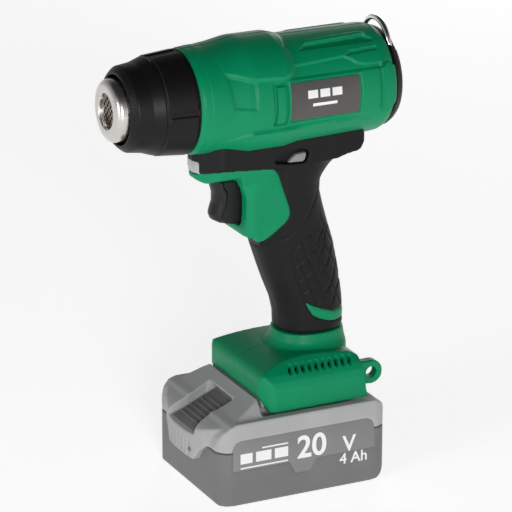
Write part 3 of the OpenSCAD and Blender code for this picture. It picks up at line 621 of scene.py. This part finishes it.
def net_height(p):
    """The gap to the nearest line of the net on the rear of the handle."""
    x, z = p[:, 0], p[:, 2]
    lines = [
        [(3.6, 124.6), (6.6, 114.1), (9.6, 104.1), (11.9, 98.6)],
        [(5.4, 129.3), (8.3, 121.0), (12.5, 110.3), (16.7, 101.2), (19.0, 96.0)],
        [(9.5, 133.1), (11.9, 124.9), (16.0, 116.5), (20.2, 107.4), (25.2, 93.6)],
        [(14.8, 136.2), (17.2, 126.9), (21.3, 118.4), (25.5, 109.9), (30.3, 100.7), (34, 93)],
        [(18.9, 139.4), (21.9, 131.2), (26.0, 123.8), (30.2, 116.5), (35, 108), (40, 100)],
        [(21.2, 145.7), (24.8, 137.4), (28.4, 130.2), (33, 122)],
        [(14.8, 136.2), (9.5, 132.5), (5.4, 128.7), (3.6, 124.6)],
        [(25, 139), (20.1, 132.6), (16.6, 126.4), (11.9, 122.7), (6, 119.0), (5.2, 118)],
        [(28, 137), (24.8, 135.2), (23.1, 128.2), (20.1, 122.0), (16.0, 116.5), (11.9, 112.7),
         (7.6, 110.0)],
        [(32, 130), (28.4, 124.6), (25.5, 118.3), (21.3, 113.4), (17.2, 108.4), (10.2, 102.6)],
        [(35, 119), (30.8, 113.0), (27.9, 106.7), (23.8, 101.8), (18.4, 97.2)],
        [(37, 108), (31.5, 102.8), (28.6, 96.5), (26, 93)],
    ]
    near = np.full(x.shape, 1e9)
    for line in lines:
        near = np.minimum(near, line_gap(line, x, z))
    return near

# %% Grooves pressed into the rubber
net = net_height(p)
face_side = np.clip((np.abs(n[:, 1]) - 0.15) / 0.3, 0, 1)
zone = step(146 - p[:, 2], 4) * step(p[:, 2] - 91.5, 2)
push = -0.6 * np.exp(-(net / 0.6) ** 2) * face_side * zone
band_line = [(18.8, 155.5), (15.3, 149.9), (11.8, 144.9), (7.7, 141.1), (3.1, 137.4), (-2.2, 134.3),
             (-8.0, 131.4), (-13.9, 128.9)]
band = line_gap([(24, 166)] + band_line, p[:, 0], p[:, 2])
under = depth_in(band_line + [(-17.3, 127.3), (-17.3, 90), (60, 90), (60, 172), (24, 166)], p[:, 0], p[:,
                                                            2])
push += -0.55 * np.exp(-(band / 0.7) ** 2) * step(168 - p[:, 2], 4)
push += -0.35 * step(under, 1.0) * step(depth_in([(-30, 128), (-8, 131.4), (3.1, 137.4), (11.8, 144.9),
                                                  (24, 166), (60, 172), (60, 150), (12, 120), (-30, 100)],
                                                 p[:, 0], p[:, 2]), 12)
push += -0.6 * np.exp(-(green_d / 0.55) ** 2)
back_seam = np.exp(-(p[:, 1] / 0.4) ** 2) * (p[:, 2] < 176)
push -= 0.3 * back_seam
p = p + n * push[:, None]
put(form, p)
print("deepest groove, mm", round(float(-push.min()), 2))

# %% Dividing rubber from plastic
def divide(obj, inner, names):
    """Splits a surface in two along inner = 0."""
    mesh = obj.data
    f_mid = np.array([inner[list(f.vertices)].mean() > 0 for f in mesh.polygons])
    out = []
    for want, name in zip((True, False), names):
        copy = obj.copy()
        copy.data = mesh.copy()
        copy.name = name
        copy.data.name = name
        bpy.context.scene.collection.objects.link(copy)
        bm = bmesh.new()
        bm.from_mesh(copy.data)
        bm.faces.ensure_lookup_table()
        bmesh.ops.delete(bm, geom=[f for f in bm.faces if f_mid[f.index] != want], context="FACES")
        bm.to_mesh(copy.data)
        bm.free()
        out.append(copy)
    bpy.data.objects.remove(obj, do_unlink=True)
    return out

# slide the vertices nearest to the seam onto it before dividing
def slide_to_line(obj, p, d, reach=0.45):
    e = 0.05
    def field(x, z):
        return np.maximum(depth_in(seam_line, x, z), depth_in(wedge_line, x, z))
    near = np.abs(d) < reach
    x, z = p[near, 0], p[near, 2]
    gx = (field(x + e, z) - field(x - e, z)) / (2 * e)
    gz = (field(x, z + e) - field(x, z - e)) / (2 * e)
    size = np.maximum(np.hypot(gx, gz), 1e-6)
    p[near, 0] -= d[near] * gx / size * 0.98
    p[near, 2] -= d[near] * gz / size * 0.98
    put(obj, p)
slide_to_line(form, p, green_d)
surround, skin = divide(form, green_d, ("trigger_surround", "grip_skin"))
for obj in (surround, skin):
    smooth(obj, 60)
finish_piece(surround, "tool", green_shell, ("housing_left", "housing_right"))
finish_piece(skin, "tool", black_rubber, ("grip_left", "grip_right"))

# %% [markdown]
# ## The foot
# The foot spreads from the handle over the battery. Its top edges are broad chamfers, with ten
# slanted vents on each side and an eye for a lanyard at the rear left corner.

# %% A smooth line through points
def flowing(points, pieces=5):
    """A smooth open line through the points."""
    p = [points[0]] + list(points) + [points[-1]]
    out = []
    for i in range(1, len(p) - 2):
        a, b, c, d = (np.array(q, float) for q in p[i - 1:i + 3])
        for t in np.arange(pieces) / pieces:
            square = (2 * a - 5 * b + 4 * c - d) * t * t
            cube = (3 * b - a - 3 * c + d) * t ** 3
            out.append(tuple(0.5 * (2 * b + (c - a) * t + square + cube)))
    return out + [tuple(points[-1])]

# %% Foot: outside
foot_top = flowing([(-22, 61.0), (-21.4, 64.4), (-19.0, 67.2), (-13, 69.4), (-5.7, 71.0), (6, 71.9),
                    (17.8, 71.6), (32.7, 70.4)])
foot = outline([(-22, 54.6)] + foot_top + [(36.9, 68.4), (38.2, 55), (39.8, 46.3), (-17.5, 46.3)], -35.4,
               35.4, name="foot")
carve(foot, outline([(-22.4, -26), (-21.4, -30), (-18.6, -33.6), (-14, -35.6), (60, -35.6), (60, 35.6),
                     (-14, 35.6), (-18.6, 33.6), (-21.4, 30), (-22.4, 26)], 20, 90, "z"), "INTERSECT")
carve(foot, outline([(-35.4, 46), (-35.3, 59), (-34.4, 62.6), (-32.2, 65.8), (-28, 69), (-23, 73),
                     (23, 73), (28, 69), (32.2, 65.8), (34.4, 62.6), (35.3, 59), (35.4, 46)], -50, 60,
                    "x"), "INTERSECT")
soften(foot, 1.6, 3, 32)
neck = oval_loft([(66, -5, 41, 22), (70.6, -4.4, 41, 21.6), (72.4, -1.6, 40.8, 19.2),
                  (74.4, 0.2, 40.4, 17.9), (77.8, 1.2, 39.9, 17.4), (79.2, 1.6, 39.6, 17.2)], "neck")
lug = drum((44.5, -27, 57.7), 6.6, 6, ALONG_Y, 64)
web = block((34, 44.5), (-30, -24), (51.2, 64.2))
foot = join([foot, neck, lug, web], "foot_shell")
use(foot, "REMESH", mode="VOXEL", voxel_size=0.55 * MM)
print("foot outside, vertices", len(foot.data.vertices))

# %% Foot: hollow, eye and vents
hollow = outline([(-19.6, 40), (-19.6, 65.4), (-13.6, 67.2), (-5.5, 68.9), (6, 69.8), (17.8, 69.2),
                  (31, 68), (34.4, 66.4), (35.8, 55), (37.4, 40)], -33, 33, name="hollow")
carve(hollow, outline([(-33, 40), (-33, 58), (-31, 63), (-22, 70.5), (22, 70.5), (31, 63), (33, 58),
                       (33, 40)], -50, 60, "x"), "INTERSECT")
carve(hollow, outline([(-19.8, -22), (-18.8, -27), (-16, -30.6), (-12, -33), (60, -33), (60, 33),
                       (-12, 33), (-16, 30.6), (-18.8, 27), (-19.8, 22)], 20, 90, "z"), "INTERSECT")
carve(foot, hollow)
carve(foot, block((-30, -15), (-29, 29), (40, 53.2)))
carve(foot, drum((44.5, -27, 57.7), 3.0, 20, ALONG_Y, 48))
VENTS = 10
VENT_PITCH = 3.9
VENT_LEAN = 22
vent = block((-0.95, 0.95), (-5, 5), (-2.2, 2.2))
vents = []
for i in range(VENTS):
    for side in (-1, 1):
        vents.append(copied(vent, (-4 + VENT_PITCH * i, side * 31.8, 67.2), VENT_LEAN))
bpy.data.objects.remove(vent, do_unlink=True)
carve(foot, join(vents, "vents"))
use(foot, "REMESH", mode="VOXEL", voxel_size=0.55 * MM)
use(foot, "SMOOTH", factor=0.5, iterations=3)
p = verts(foot)
n = normals(foot)
push = -0.3 * np.exp(-(p[:, 1] / 0.4) ** 2)
put(foot, p + n * push[:, None])
smooth(foot, 60)
finish_piece(foot, "tool", green_shell, ("housing_left", "housing_right"))

# %% [markdown]
# ## The trigger
# A trigger has a hollow face for the finger, and a ridge where the face meets its cheeks. It could
# be cut from a block with round tools. Here its side outline is extruded, remeshed finely, and
# then its points are drawn in towards the edges, which gives a face that curves two ways.

# %% Trigger
trig = outline([(-36.6, 168.2), (-35.6, 164), (-34.6, 160.6), (-34.7, 155.7), (-35.9, 152.1),
                (-36.6, 149.4), (-35.8, 146.8), (-33.0, 145.0), (-28, 144.2), (-13, 145.8), (-13, 168.2)],
               -8.3, 8.3, name="trigger_lever")
soften(trig, 0.8, 3, 50)
use(trig, "REMESH", mode="VOXEL", voxel_size=0.35 * MM)
use(trig, "SMOOTH", factor=0.5, iterations=4)
p = verts(trig)
y = np.abs(p[:, 1])
face = np.interp(p[:, 2], [144, 149.4, 152.1, 155.7, 160.6, 164, 167.2], [-33, -36.6, -35.9, -34.7, -34.6,
                                                            -35.6, -36.4])
depth = np.clip(p[:, 0] - face, 0, 30)
round_off = 3.2 * (np.clip(y, 0, 7.3) / 7.3) ** 2
p[:, 0] += round_off * np.clip(1 - depth / 14, 0, 1)
ridge = np.interp(p[:, 2], [145, 150, 154, 158.5, 162.3, 165.4], [-34.0, -33.6, -31.8, -30.6, -30.6,
                                                            -32.8])
inset = 0.9 * step(p[:, 0] - ridge - 0.8, 1.0) * step(y - 5, 2)
p[:, 1] -= np.sign(p[:, 1]) * inset
put(trig, p)
smooth(trig, 60)
flange = block((-16.4, -13), (-11.4, 11.4), (150.2, 165.8))
soften(flange, 0.5, 2)
trig = join([trig, flange], "trigger_lever")
smooth(trig, 60)
finish_piece(trig, "trigger", trigger_black, ("trigger",))

# %% [markdown]
# ## The lock-off button
# A bar runs across the tool, and a head shows in a pocket on each side. Pushed to the middle it
# locks the trigger. The heads are one outline each, with soft edges, on a plain bar that stays
# hidden inside the saddle.

# %% Lock-off button
btn = block((1.5, 8.9), (-13, 13), (178, 181.2), "lock_button")
heads = []
for side in (-1, 1):
    y = sorted((side * 12.8, side * 17.9))
    head = outline([(0.9, 177.2), (3.0, 179.4), (5.6, 181.2), (10.9, 181.6), (11.0, 179.8), (10.2, 177.6),
                    (9.0, 176.8)], y[0], y[1], name="head")
    soften(head, 0.5, 3, 30)
    heads.append(head)
btn = join([btn] + heads, "lock_button")
smooth(btn, 40)
finish_piece(btn, "lock_off", grey_plastic, ("lock_off_button",))

# %% [markdown]
# ## The work light
# A clear window closes the front of the saddle. It follows the saddle's own nose line, so it is
# cut from that line as a thin curved plate and sits flush in its seat.

# %% Work light lens
lens = outline(nose_line(0.12), 174.4, 180.5, "z", name="light_lens")
carve(lens, outline(nose_line(2.0), 170, 190, "z"))
carve(lens, block((-60, -44.8), (-7.2, 7.2), (170, 190)), "INTERSECT")
soften(lens, 0.35, 2, 50)
smooth(lens, 40)
finish_piece(lens, "tool", lens_plastic, ("led_lens",))

# %% [markdown]
# ## The hanging ring
# The ring is bent wire: an upper half circle whose ends turn down into two pins. Half a torus
# gives the bow, its ends are closed, and balls and short rods make the bends and the pins.

# %% Hanging ring
bpy.ops.mesh.primitive_torus_add(major_radius=15 * MM, minor_radius=1.5 * MM, major_segments=96,
                                 minor_segments=24,
                                 location=(60.6 * MM, 0, (AXIS_Z + 16) * MM), rotation=ALONG_X)
ring = settle(bpy.context.object, "hanging_loop")
only(ring)
bpy.ops.object.mode_set(mode="EDIT")
bpy.ops.mesh.select_all(action="SELECT")
bpy.ops.mesh.bisect(plane_co=(0, 0, (AXIS_Z + 16) * MM), plane_no=(0, 0, 1), clear_inner=True)
bpy.ops.object.mode_set(mode="OBJECT")
bm = bmesh.new()
bm.from_mesh(ring.data)
bmesh.ops.holes_fill(bm, edges=[e for e in bm.edges if e.is_boundary])
bm.to_mesh(ring.data)
bm.free()
pins = []
for side in (-1, 1):
    clear_selection()
    bpy.ops.mesh.primitive_uv_sphere_add(segments=24, ring_count=16, radius=1.5 * MM, location=(60.6 * MM,
                                                            side * 15 * MM, (AXIS_Z + 16) * MM))
    pins.append(settle(bpy.context.object))
    pins.append(drum((60.6, side * 12, AXIS_Z + 16), 1.5, 6, ALONG_Y, 24))
ring = join([ring] + pins, "hanging_loop")
smooth(ring, 60)
finish_piece(ring, "ring", ring_steel, ("hanging_ring",))

# %% [markdown]
# ## The steel outlet
# The outlet is a deep-drawn cup: a rolled lip, a flat face and a short throat with a mesh in it.

# %% Outlet
cup_line = [(9.1, -86), (9.1, -93.6), (9.35, -94.2), (9.9, -94.5), (12.6, -94.5), (13.6, -94.3),
            (14.8, -93.8), (15.7, -93.0), (16.3, -92.0), (16.5, -91.0), (16.5, -60)]
bm = bmesh.new()
chain = [bm.verts.new((x * MM, 0, (AXIS_Z + r) * MM)) for r, x in cup_line]
for q, w in zip(chain[:-1], chain[1:]):
    bm.edges.new((q, w))
mesh = bpy.data.meshes.new("outlet_cup")
bm.to_mesh(mesh)
bm.free()
cup = bpy.data.objects.new("outlet_cup", mesh)
bpy.context.scene.collection.objects.link(cup)
only(cup)
bpy.ops.object.mode_set(mode="EDIT")
bpy.ops.mesh.select_all(action="SELECT")
bpy.ops.mesh.spin(steps=128, angle=2 * math.pi, center=(0, 0, AXIS_Z * MM), axis=(1, 0, 0))
bpy.ops.mesh.select_all(action="SELECT")
bpy.ops.mesh.remove_doubles(threshold=0.005 * MM)
bpy.ops.mesh.normals_make_consistent(inside=False)
bpy.ops.object.mode_set(mode="OBJECT")
use(cup, "SOLIDIFY", thickness=0.7 * MM, offset=-1)
smooth(cup, 50)
finish_piece(cup, "tool", bright_steel, ("outlet_nozzle",))

# %% [markdown]
# ## The battery
# The light upper shell carries a sloping front with a sunk release button, and the darker lower
# shell is a rounded tray. Labels are sunk in both long sides.

# %% Battery tray
def pill(l, w, r, z0, z1, name):
    body = block((-l / 2, l / 2), (-w / 2, w / 2), (z0, z1), name)
    only(body)
    bm = bmesh.new()
    bm.from_mesh(body.data)
    edges = [e for e in bm.edges if abs(e.verts[0].co.z - e.verts[1].co.z) > 1e-4]
    bmesh.ops.bevel(bm, geom=edges, offset=r * MM, segments=8, profile=0.5, affect="EDGES")
    bm.to_mesh(body.data)
    bm.free()
    return body
tray = pill(99.3, 80, 8.5, 0, 29.6, "battery_tray_shell")
rear_round = [(49.65 - 9.5 + 9.5 * math.sin(math.radians(t)),
               9.5 - 9.5 * math.cos(math.radians(t))) for t in range(0, 91, 10)]
carve(tray, outline([(-49.65, 1.6), (-48.6, 0)] + rear_round + [(49.65, 31), (-49.65, 31)], -41, 41),
      "INTERSECT")
soften(tray, 0.8, 2, 40)
label_line = [(-42.3, 19.2), (-9, 19.2), (-5.4, 12.2), (3.4, 12.2), (7, 18.8), (41.8, 18.8), (41.8, 30.6),
              (41.0, 33.6), (39.2, 35.4), (36.6, 36.3), (-37.4, 36.4), (-40.2, 35.4), (-41.8, 33.2),
              (-42.3, 30.4)]
for side in (-1, 1):
    y = sorted((side * 39.2, side * 45))
    carve(tray, outline([(side * -x, z) if side > 0 else (x, z) for x, z in label_line], y[0], y[1]))
use(tray, "REMESH", mode="VOXEL", voxel_size=0.6 * MM)
use(tray, "SMOOTH", factor=0.5, iterations=3)
smooth(tray, 60)
finish_piece(tray, "pack", pack_dark, ("battery_tray",))

# %% [markdown]
# ## The battery lid
# The upper shell steps up in a slope that holds the release button, and its rails slide into the
# foot. Slope, tongue and rails are made as simple solids, joined, and melted into one moulding.
# The pocket, the rail slots and the label seats are cut after that.

# %% Battery lid: solids
lid = pill(99.3, 80, 8.5, 30.0, 60, "battery_lid_shell")
carve(lid, outline([(-49.65, 29), (-49.65, 33), (-48.6, 37.6), (-46.4, 41.4), (-42.6, 44.6), (-39, 45.7),
                    (42, 45.7), (46.5, 43.2), (49.0, 40.2), (49.65, 37), (49.65, 29)], -41, 41),
      "INTERSECT")
soften(lid, 1.2, 3, 40)
hump_top = flowing([(-54.6, 31.2), (-54.9, 33.2), (-54.2, 35.8), (-52, 38.6), (-48.5, 41.0), (-44, 43.2),
                    (-38, 46.0), (-30, 50.0), (-25, 52.6), (-22.6, 54.0)])
hump = outline([(-46, 30.2), (-53.2, 30.2)] + hump_top + [(-22.6, 40)], -39.9, 39.9, name="hump")
nose_curve = [(-33, -39.9), (-40, -38.2), (-45, -34.5), (-49, -29), (-51.8, -22.5), (-54, -14.5),
              (-54.9, -7), (-54.9, 7), (-54, 14.5), (-51.8, 22.5), (-49, 29), (-45, 34.5), (-40, 38.2),
              (-33, 39.9), (-10, 39.9), (-10, -39.9)]
carve(hump, outline(nose_curve, 10, 70, "z"), "INTERSECT")
carve(hump, outline([(-39.9, 20), (-39.9, 42.6), (-38, 44.8), (-35, 46.4), (-31.5, 51.2), (-28, 54.4),
                     (28, 54.4), (31.5, 51.2), (35, 46.4), (38, 44.8), (39.9, 42.6), (39.9, 20)], -60, 0,
                    "x"), "INTERSECT")
soften(hump, 1.6, 3, 35)
tongue = outline([(-15, 19.6), (15, 19.6), (19, 25.4), (25, 30.4), (25, 33), (-25, 33), (-25, 30.4),
                  (-19, 25.4)], -58, -48.4, "x", name="tongue")
carve(tongue, outline(nose_curve, 10, 70, "z"), "INTERSECT")
soften(tongue, 0.5, 2)
neck = block((-21, 34), (-24.4, 24.4), (43, 48))
head = block((-20.6, 34), (-29.4, 29.4), (47.7, 52.3))
soften(head, 0.6, 2)

# %% Battery lid: one moulding, with its cuts
lid = join([lid, hump, tongue, neck, head], "battery_lid_shell")
use(lid, "REMESH", mode="VOXEL", voxel_size=0.6 * MM)
for side in (-1, 1):
    y = sorted((side * 24.5, side * 34.3))
    carve(lid, block((-22.4, 52), y, (43.5, 47.6)))
    y = sorted((side * 29.5, side * 34.3))
    carve(lid, block((-22.4, 52), y, (43.5, 60)))
carve(lid, block((34.1, 52), (-30, 30), (43.5, 60)))
for y in (-15, -5, 5, 15):
    carve(lid, block((2, 40), (y - 2.7, y + 2.7), (46, 60)))
pocket = outline([(-60, 33.6), (-56, 33.2), (-52.6, 34.4), (-46, 37.2), (-38, 40.6), (-31.6, 43.8),
                  (-30.2, 46), (-29.6, 50), (-29.2, 60), (-60, 60)], -20, 20, name="pocket")
flare = outline([(-60, -19), (-56, -17.6), (-52, -15.4), (-48, -14.4), (-43, -14.0), (-37, -14.6),
                 (-28, -15.4), (-28, 15.4), (-37, 14.6), (-43, 14.0), (-48, 14.4), (-52, 15.4),
                 (-56, 17.6), (-60, 19)], 20, 70, "z", name="flare")
carve(pocket, flare, "INTERSECT")
soften(pocket, 0.8, 3, 50)
carve(lid, pocket)
carve(lid, block((-30.4, -22), (-12.4, 12.4), (43, 49.0)))
for side in (-1, 1):
    y = sorted((side * 39.2, side * 45))
    carve(lid, outline([(side * -x, z) if side > 0 else (x, z) for x, z in label_line], y[0], y[1]))
use(lid, "REMESH", mode="VOXEL", voxel_size=0.55 * MM)
use(lid, "SMOOTH", factor=0.5, iterations=3)
p = verts(lid)
n = normals(lid)
for y in (-10.5, -6.3, -2.1, 2.1, 6.3, 10.5):
    cut = step(1.0 - np.abs(p[:, 1] - y), 0.6) * step(p[:, 2] - 21.2, 1) * step(30 - p[:, 2], 1) * (p[:,
                                                            0] < -52.4)
    p[:, 0] += 0.6 * cut
put(lid, p)
smooth(lid, 60)
finish_piece(lid, "pack", pack_light, ("battery_lid",))

# %% [markdown]
# ## The release button and the labels
# The button is a sloping plate with six ribs for the thumb. One rib is modelled and copied down
# the slope. The labels are thin plates with the outline of their seats, a little smaller.

# %% Release button
latch = outline([(-53.6, 34.3), (-53.4, 35.6), (-46, 38.6), (-38, 42.0), (-31.0, 45.2), (-28, 46.2),
                 (-26.4, 48.6), (-23.2, 48.6), (-23.2, 46.4), (-28, 44.2), (-38, 40.9), (-46, 37.4)],
                -12.0, 12.0, name="release_button")
soften(latch, 0.5, 2, 35)
FINS = 6
FIN_STEP = (-2.9, -1.24)      # along x and z, down the button's slope
fin = block((-0.5, 0.5), (-10.6, 10.6), (-0.7, 0.7))
soften(fin, 0.35, 2)
fins = [copied(fin, (-34.0 + FIN_STEP[0] * i, 0, 43.8 + FIN_STEP[1] * i), -23.5) for i in range(FINS)]
bpy.data.objects.remove(fin, do_unlink=True)
latch = join([latch] + fins, "release_button")
smooth(latch, 40)
finish_piece(latch, "latch", pack_dark, ("latch_button",))

# %% Side labels
LABEL_SHRINK = 0.992
LABEL_MIDDLE = 25
for side, name in ((-1, "label_near"), (1, "label_far")):
    y = sorted((side * 39.25, side * 39.75))
    way = -1 if side > 0 else 1
    edge = [(way * x * LABEL_SHRINK, LABEL_SHRINK * (z - LABEL_MIDDLE) + LABEL_MIDDLE) for x,
            z in label_line]
    plate = outline(edge, y[0], y[1], name=name)
    soften(plate, 0.2, 2, 60)
    smooth(plate, 40)
    finish_piece(plate, "pack", pack_label, ("battery_labels",))

# %% [markdown]
# The charge gauge is a row of small bars on the pack's front. Rating figures are printed on the
# long sides, with plain bars where a maker would put a name.

# %% Gauge bars and key
bars = [block((-54.35, -53.6), (y - 0.55, y + 0.55), (22.0, 28.6)) for y in (-8.4, -4.2, 0, 4.2)]
gauge = join(bars, "gauge_bars")
soften(gauge, 0.15, 2)
finish_piece(gauge, "pack", pack_label, ("gauge_panel", "gauge_leds"))
knob = drum((-54.2, -12.2, 24.6), 1.2, 1.4, ALONG_X, 32, "gauge_knob")
soften(knob, 0.2, 2)
smooth(knob, 40)
finish_piece(knob, "gauge", pack_dark, ("gauge_button",))

# %% Figures and bars on the labels
def lettering(words, size, x, z, y, bold=0.0, flip=False):
    """Flat figures standing on the pack's side, left end at x and foot at z."""
    clear_selection()
    bpy.ops.object.text_add()
    obj = bpy.context.object
    obj.data.body = words
    obj.data.size = size * MM
    obj.data.offset = bold * MM
    obj.data.extrude = 0.06 * MM
    only(obj)
    bpy.ops.object.convert(target="MESH")
    obj = bpy.context.object
    obj.rotation_euler = (math.pi / 2, 0, math.pi if flip else 0)
    obj.location = (x * MM, y * MM, z * MM)
    return settle(obj)

for side, name in ((-1, "print_near"), (1, "print_far")):
    face = side * 39.78
    s = -side
    rows = [lettering("20", 17.5, -4.6 * s, 20.6, face, 0.35, side > 0), lettering("V", 12.5, 22.6 * s,
                                                            19.6, face, 0.2, side > 0),
            lettering("4 Ah", 8.6, 20.6 * s, 12.6, side * 39.98, 0.12, side > 0)]
    def strip(x0, x1, z0, z1):
        y = sorted((face, face - side * 0.1))
        x = sorted((x0 * s, x1 * s))
        return block(x, y, (z0, z1))
    rows += [strip(-37.6, -30.6, 23.0, 28.6), strip(-28.6, -19.6, 23.0, 28.6), strip(-17.6, -9.8, 23.0,
                                                            28.6), strip(-25, -9.8, 30.0, 30.8),
             strip(-37.6, -9.8, 20.2, 21.0)]
    marks = join(rows, name)
    finish_piece(marks, "pack", print_white, ())

# %% Marks on the name plates
MARKS = [(6.6, 12.2, 1.2, 5.4), (13.6, 19.2, 1.2, 5.4), (20.6, 26.2, 1.2, 5.4), (9.4, 23.4, -3.2, -1.6)]
plates = []
for side in (-1, 1):
    for x0, x1, z0, z1 in MARKS:
        mark = block((x0, x1), (-0.5, 0.5), (z0, z1))
        use(mark, "SUBSURF", subdivision_type="SIMPLE", levels=3)
        q = verts(mark)
        deep = np.where(q[:, 1] * side > 0, 28.83, 28.4)
        q[:, 1] = side * np.sqrt(deep ** 2 - q[:, 2] ** 2)
        q[:, 2] += AXIS_Z
        if side > 0:
            q[:, 0] = 33.4 - q[:, 0]
        put(mark, q)
        plates.append(mark)
plates = join(plates, "plate_marks")
finish_piece(plates, "tool", print_white, ())

# %% [markdown]
# ## Finishes for what is inside
# The parts behind the shells stay as they are and only get a finish: ceramic and oxidised wire at
# the hot end, plated steel on the motor, solder mask on the boards, a printed sleeve on the cells.

# %% Carried-over nodes get their finishes
finishes = {}
for material, nodes in (
    (mesh_metal, ["outlet_screen"]),
    (ceramic_body, ["heater_flange", "heater_core"]),
    (heater_metal, ["heater_coil"]),
    (mica_sheet, ["mica_sleeve"]),
    (zinc_plate, ["thermal_fuse", "motor_can", "trigger_spring", "latch_spring"]),
    (black_shell, ["motor_mount", "fan_duct", "rear_cap", "terminal_block", "impeller", "cell_holder"]),
    (trigger_black, ["trigger_switch"]),
    (board_mask, ["led_board", "control_board", "battery_board"]),
    (contact_metal, ["terminal_blades", "battery_terminals"]),
    (label_plate, ["label_left", "label_right"]),
    (screw_metal, ["housing_screws", "battery_screws"]),
    (red_lead, ["heater_leads", "supply_leads"]),
    (black_lead, ["motor_leads"]),
    (bright_steel, ["motor_shaft"]),
    (cell_sleeve, ["cells"]),
    (nickel_plate, ["nickel_strips"]),
):
    finishes.update({node: material for node in nodes})
for node, material in finishes.items():
    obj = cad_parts[node]
    for i in range(len(obj.material_slots)):
        obj.material_slots[i].material = material
print("carried-over nodes with a finish of their own:", len(finishes))

# %% [markdown]
# ## Handing over
# The last cell clears the selection and hands the scene over.

# %% Finish
clear_selection()
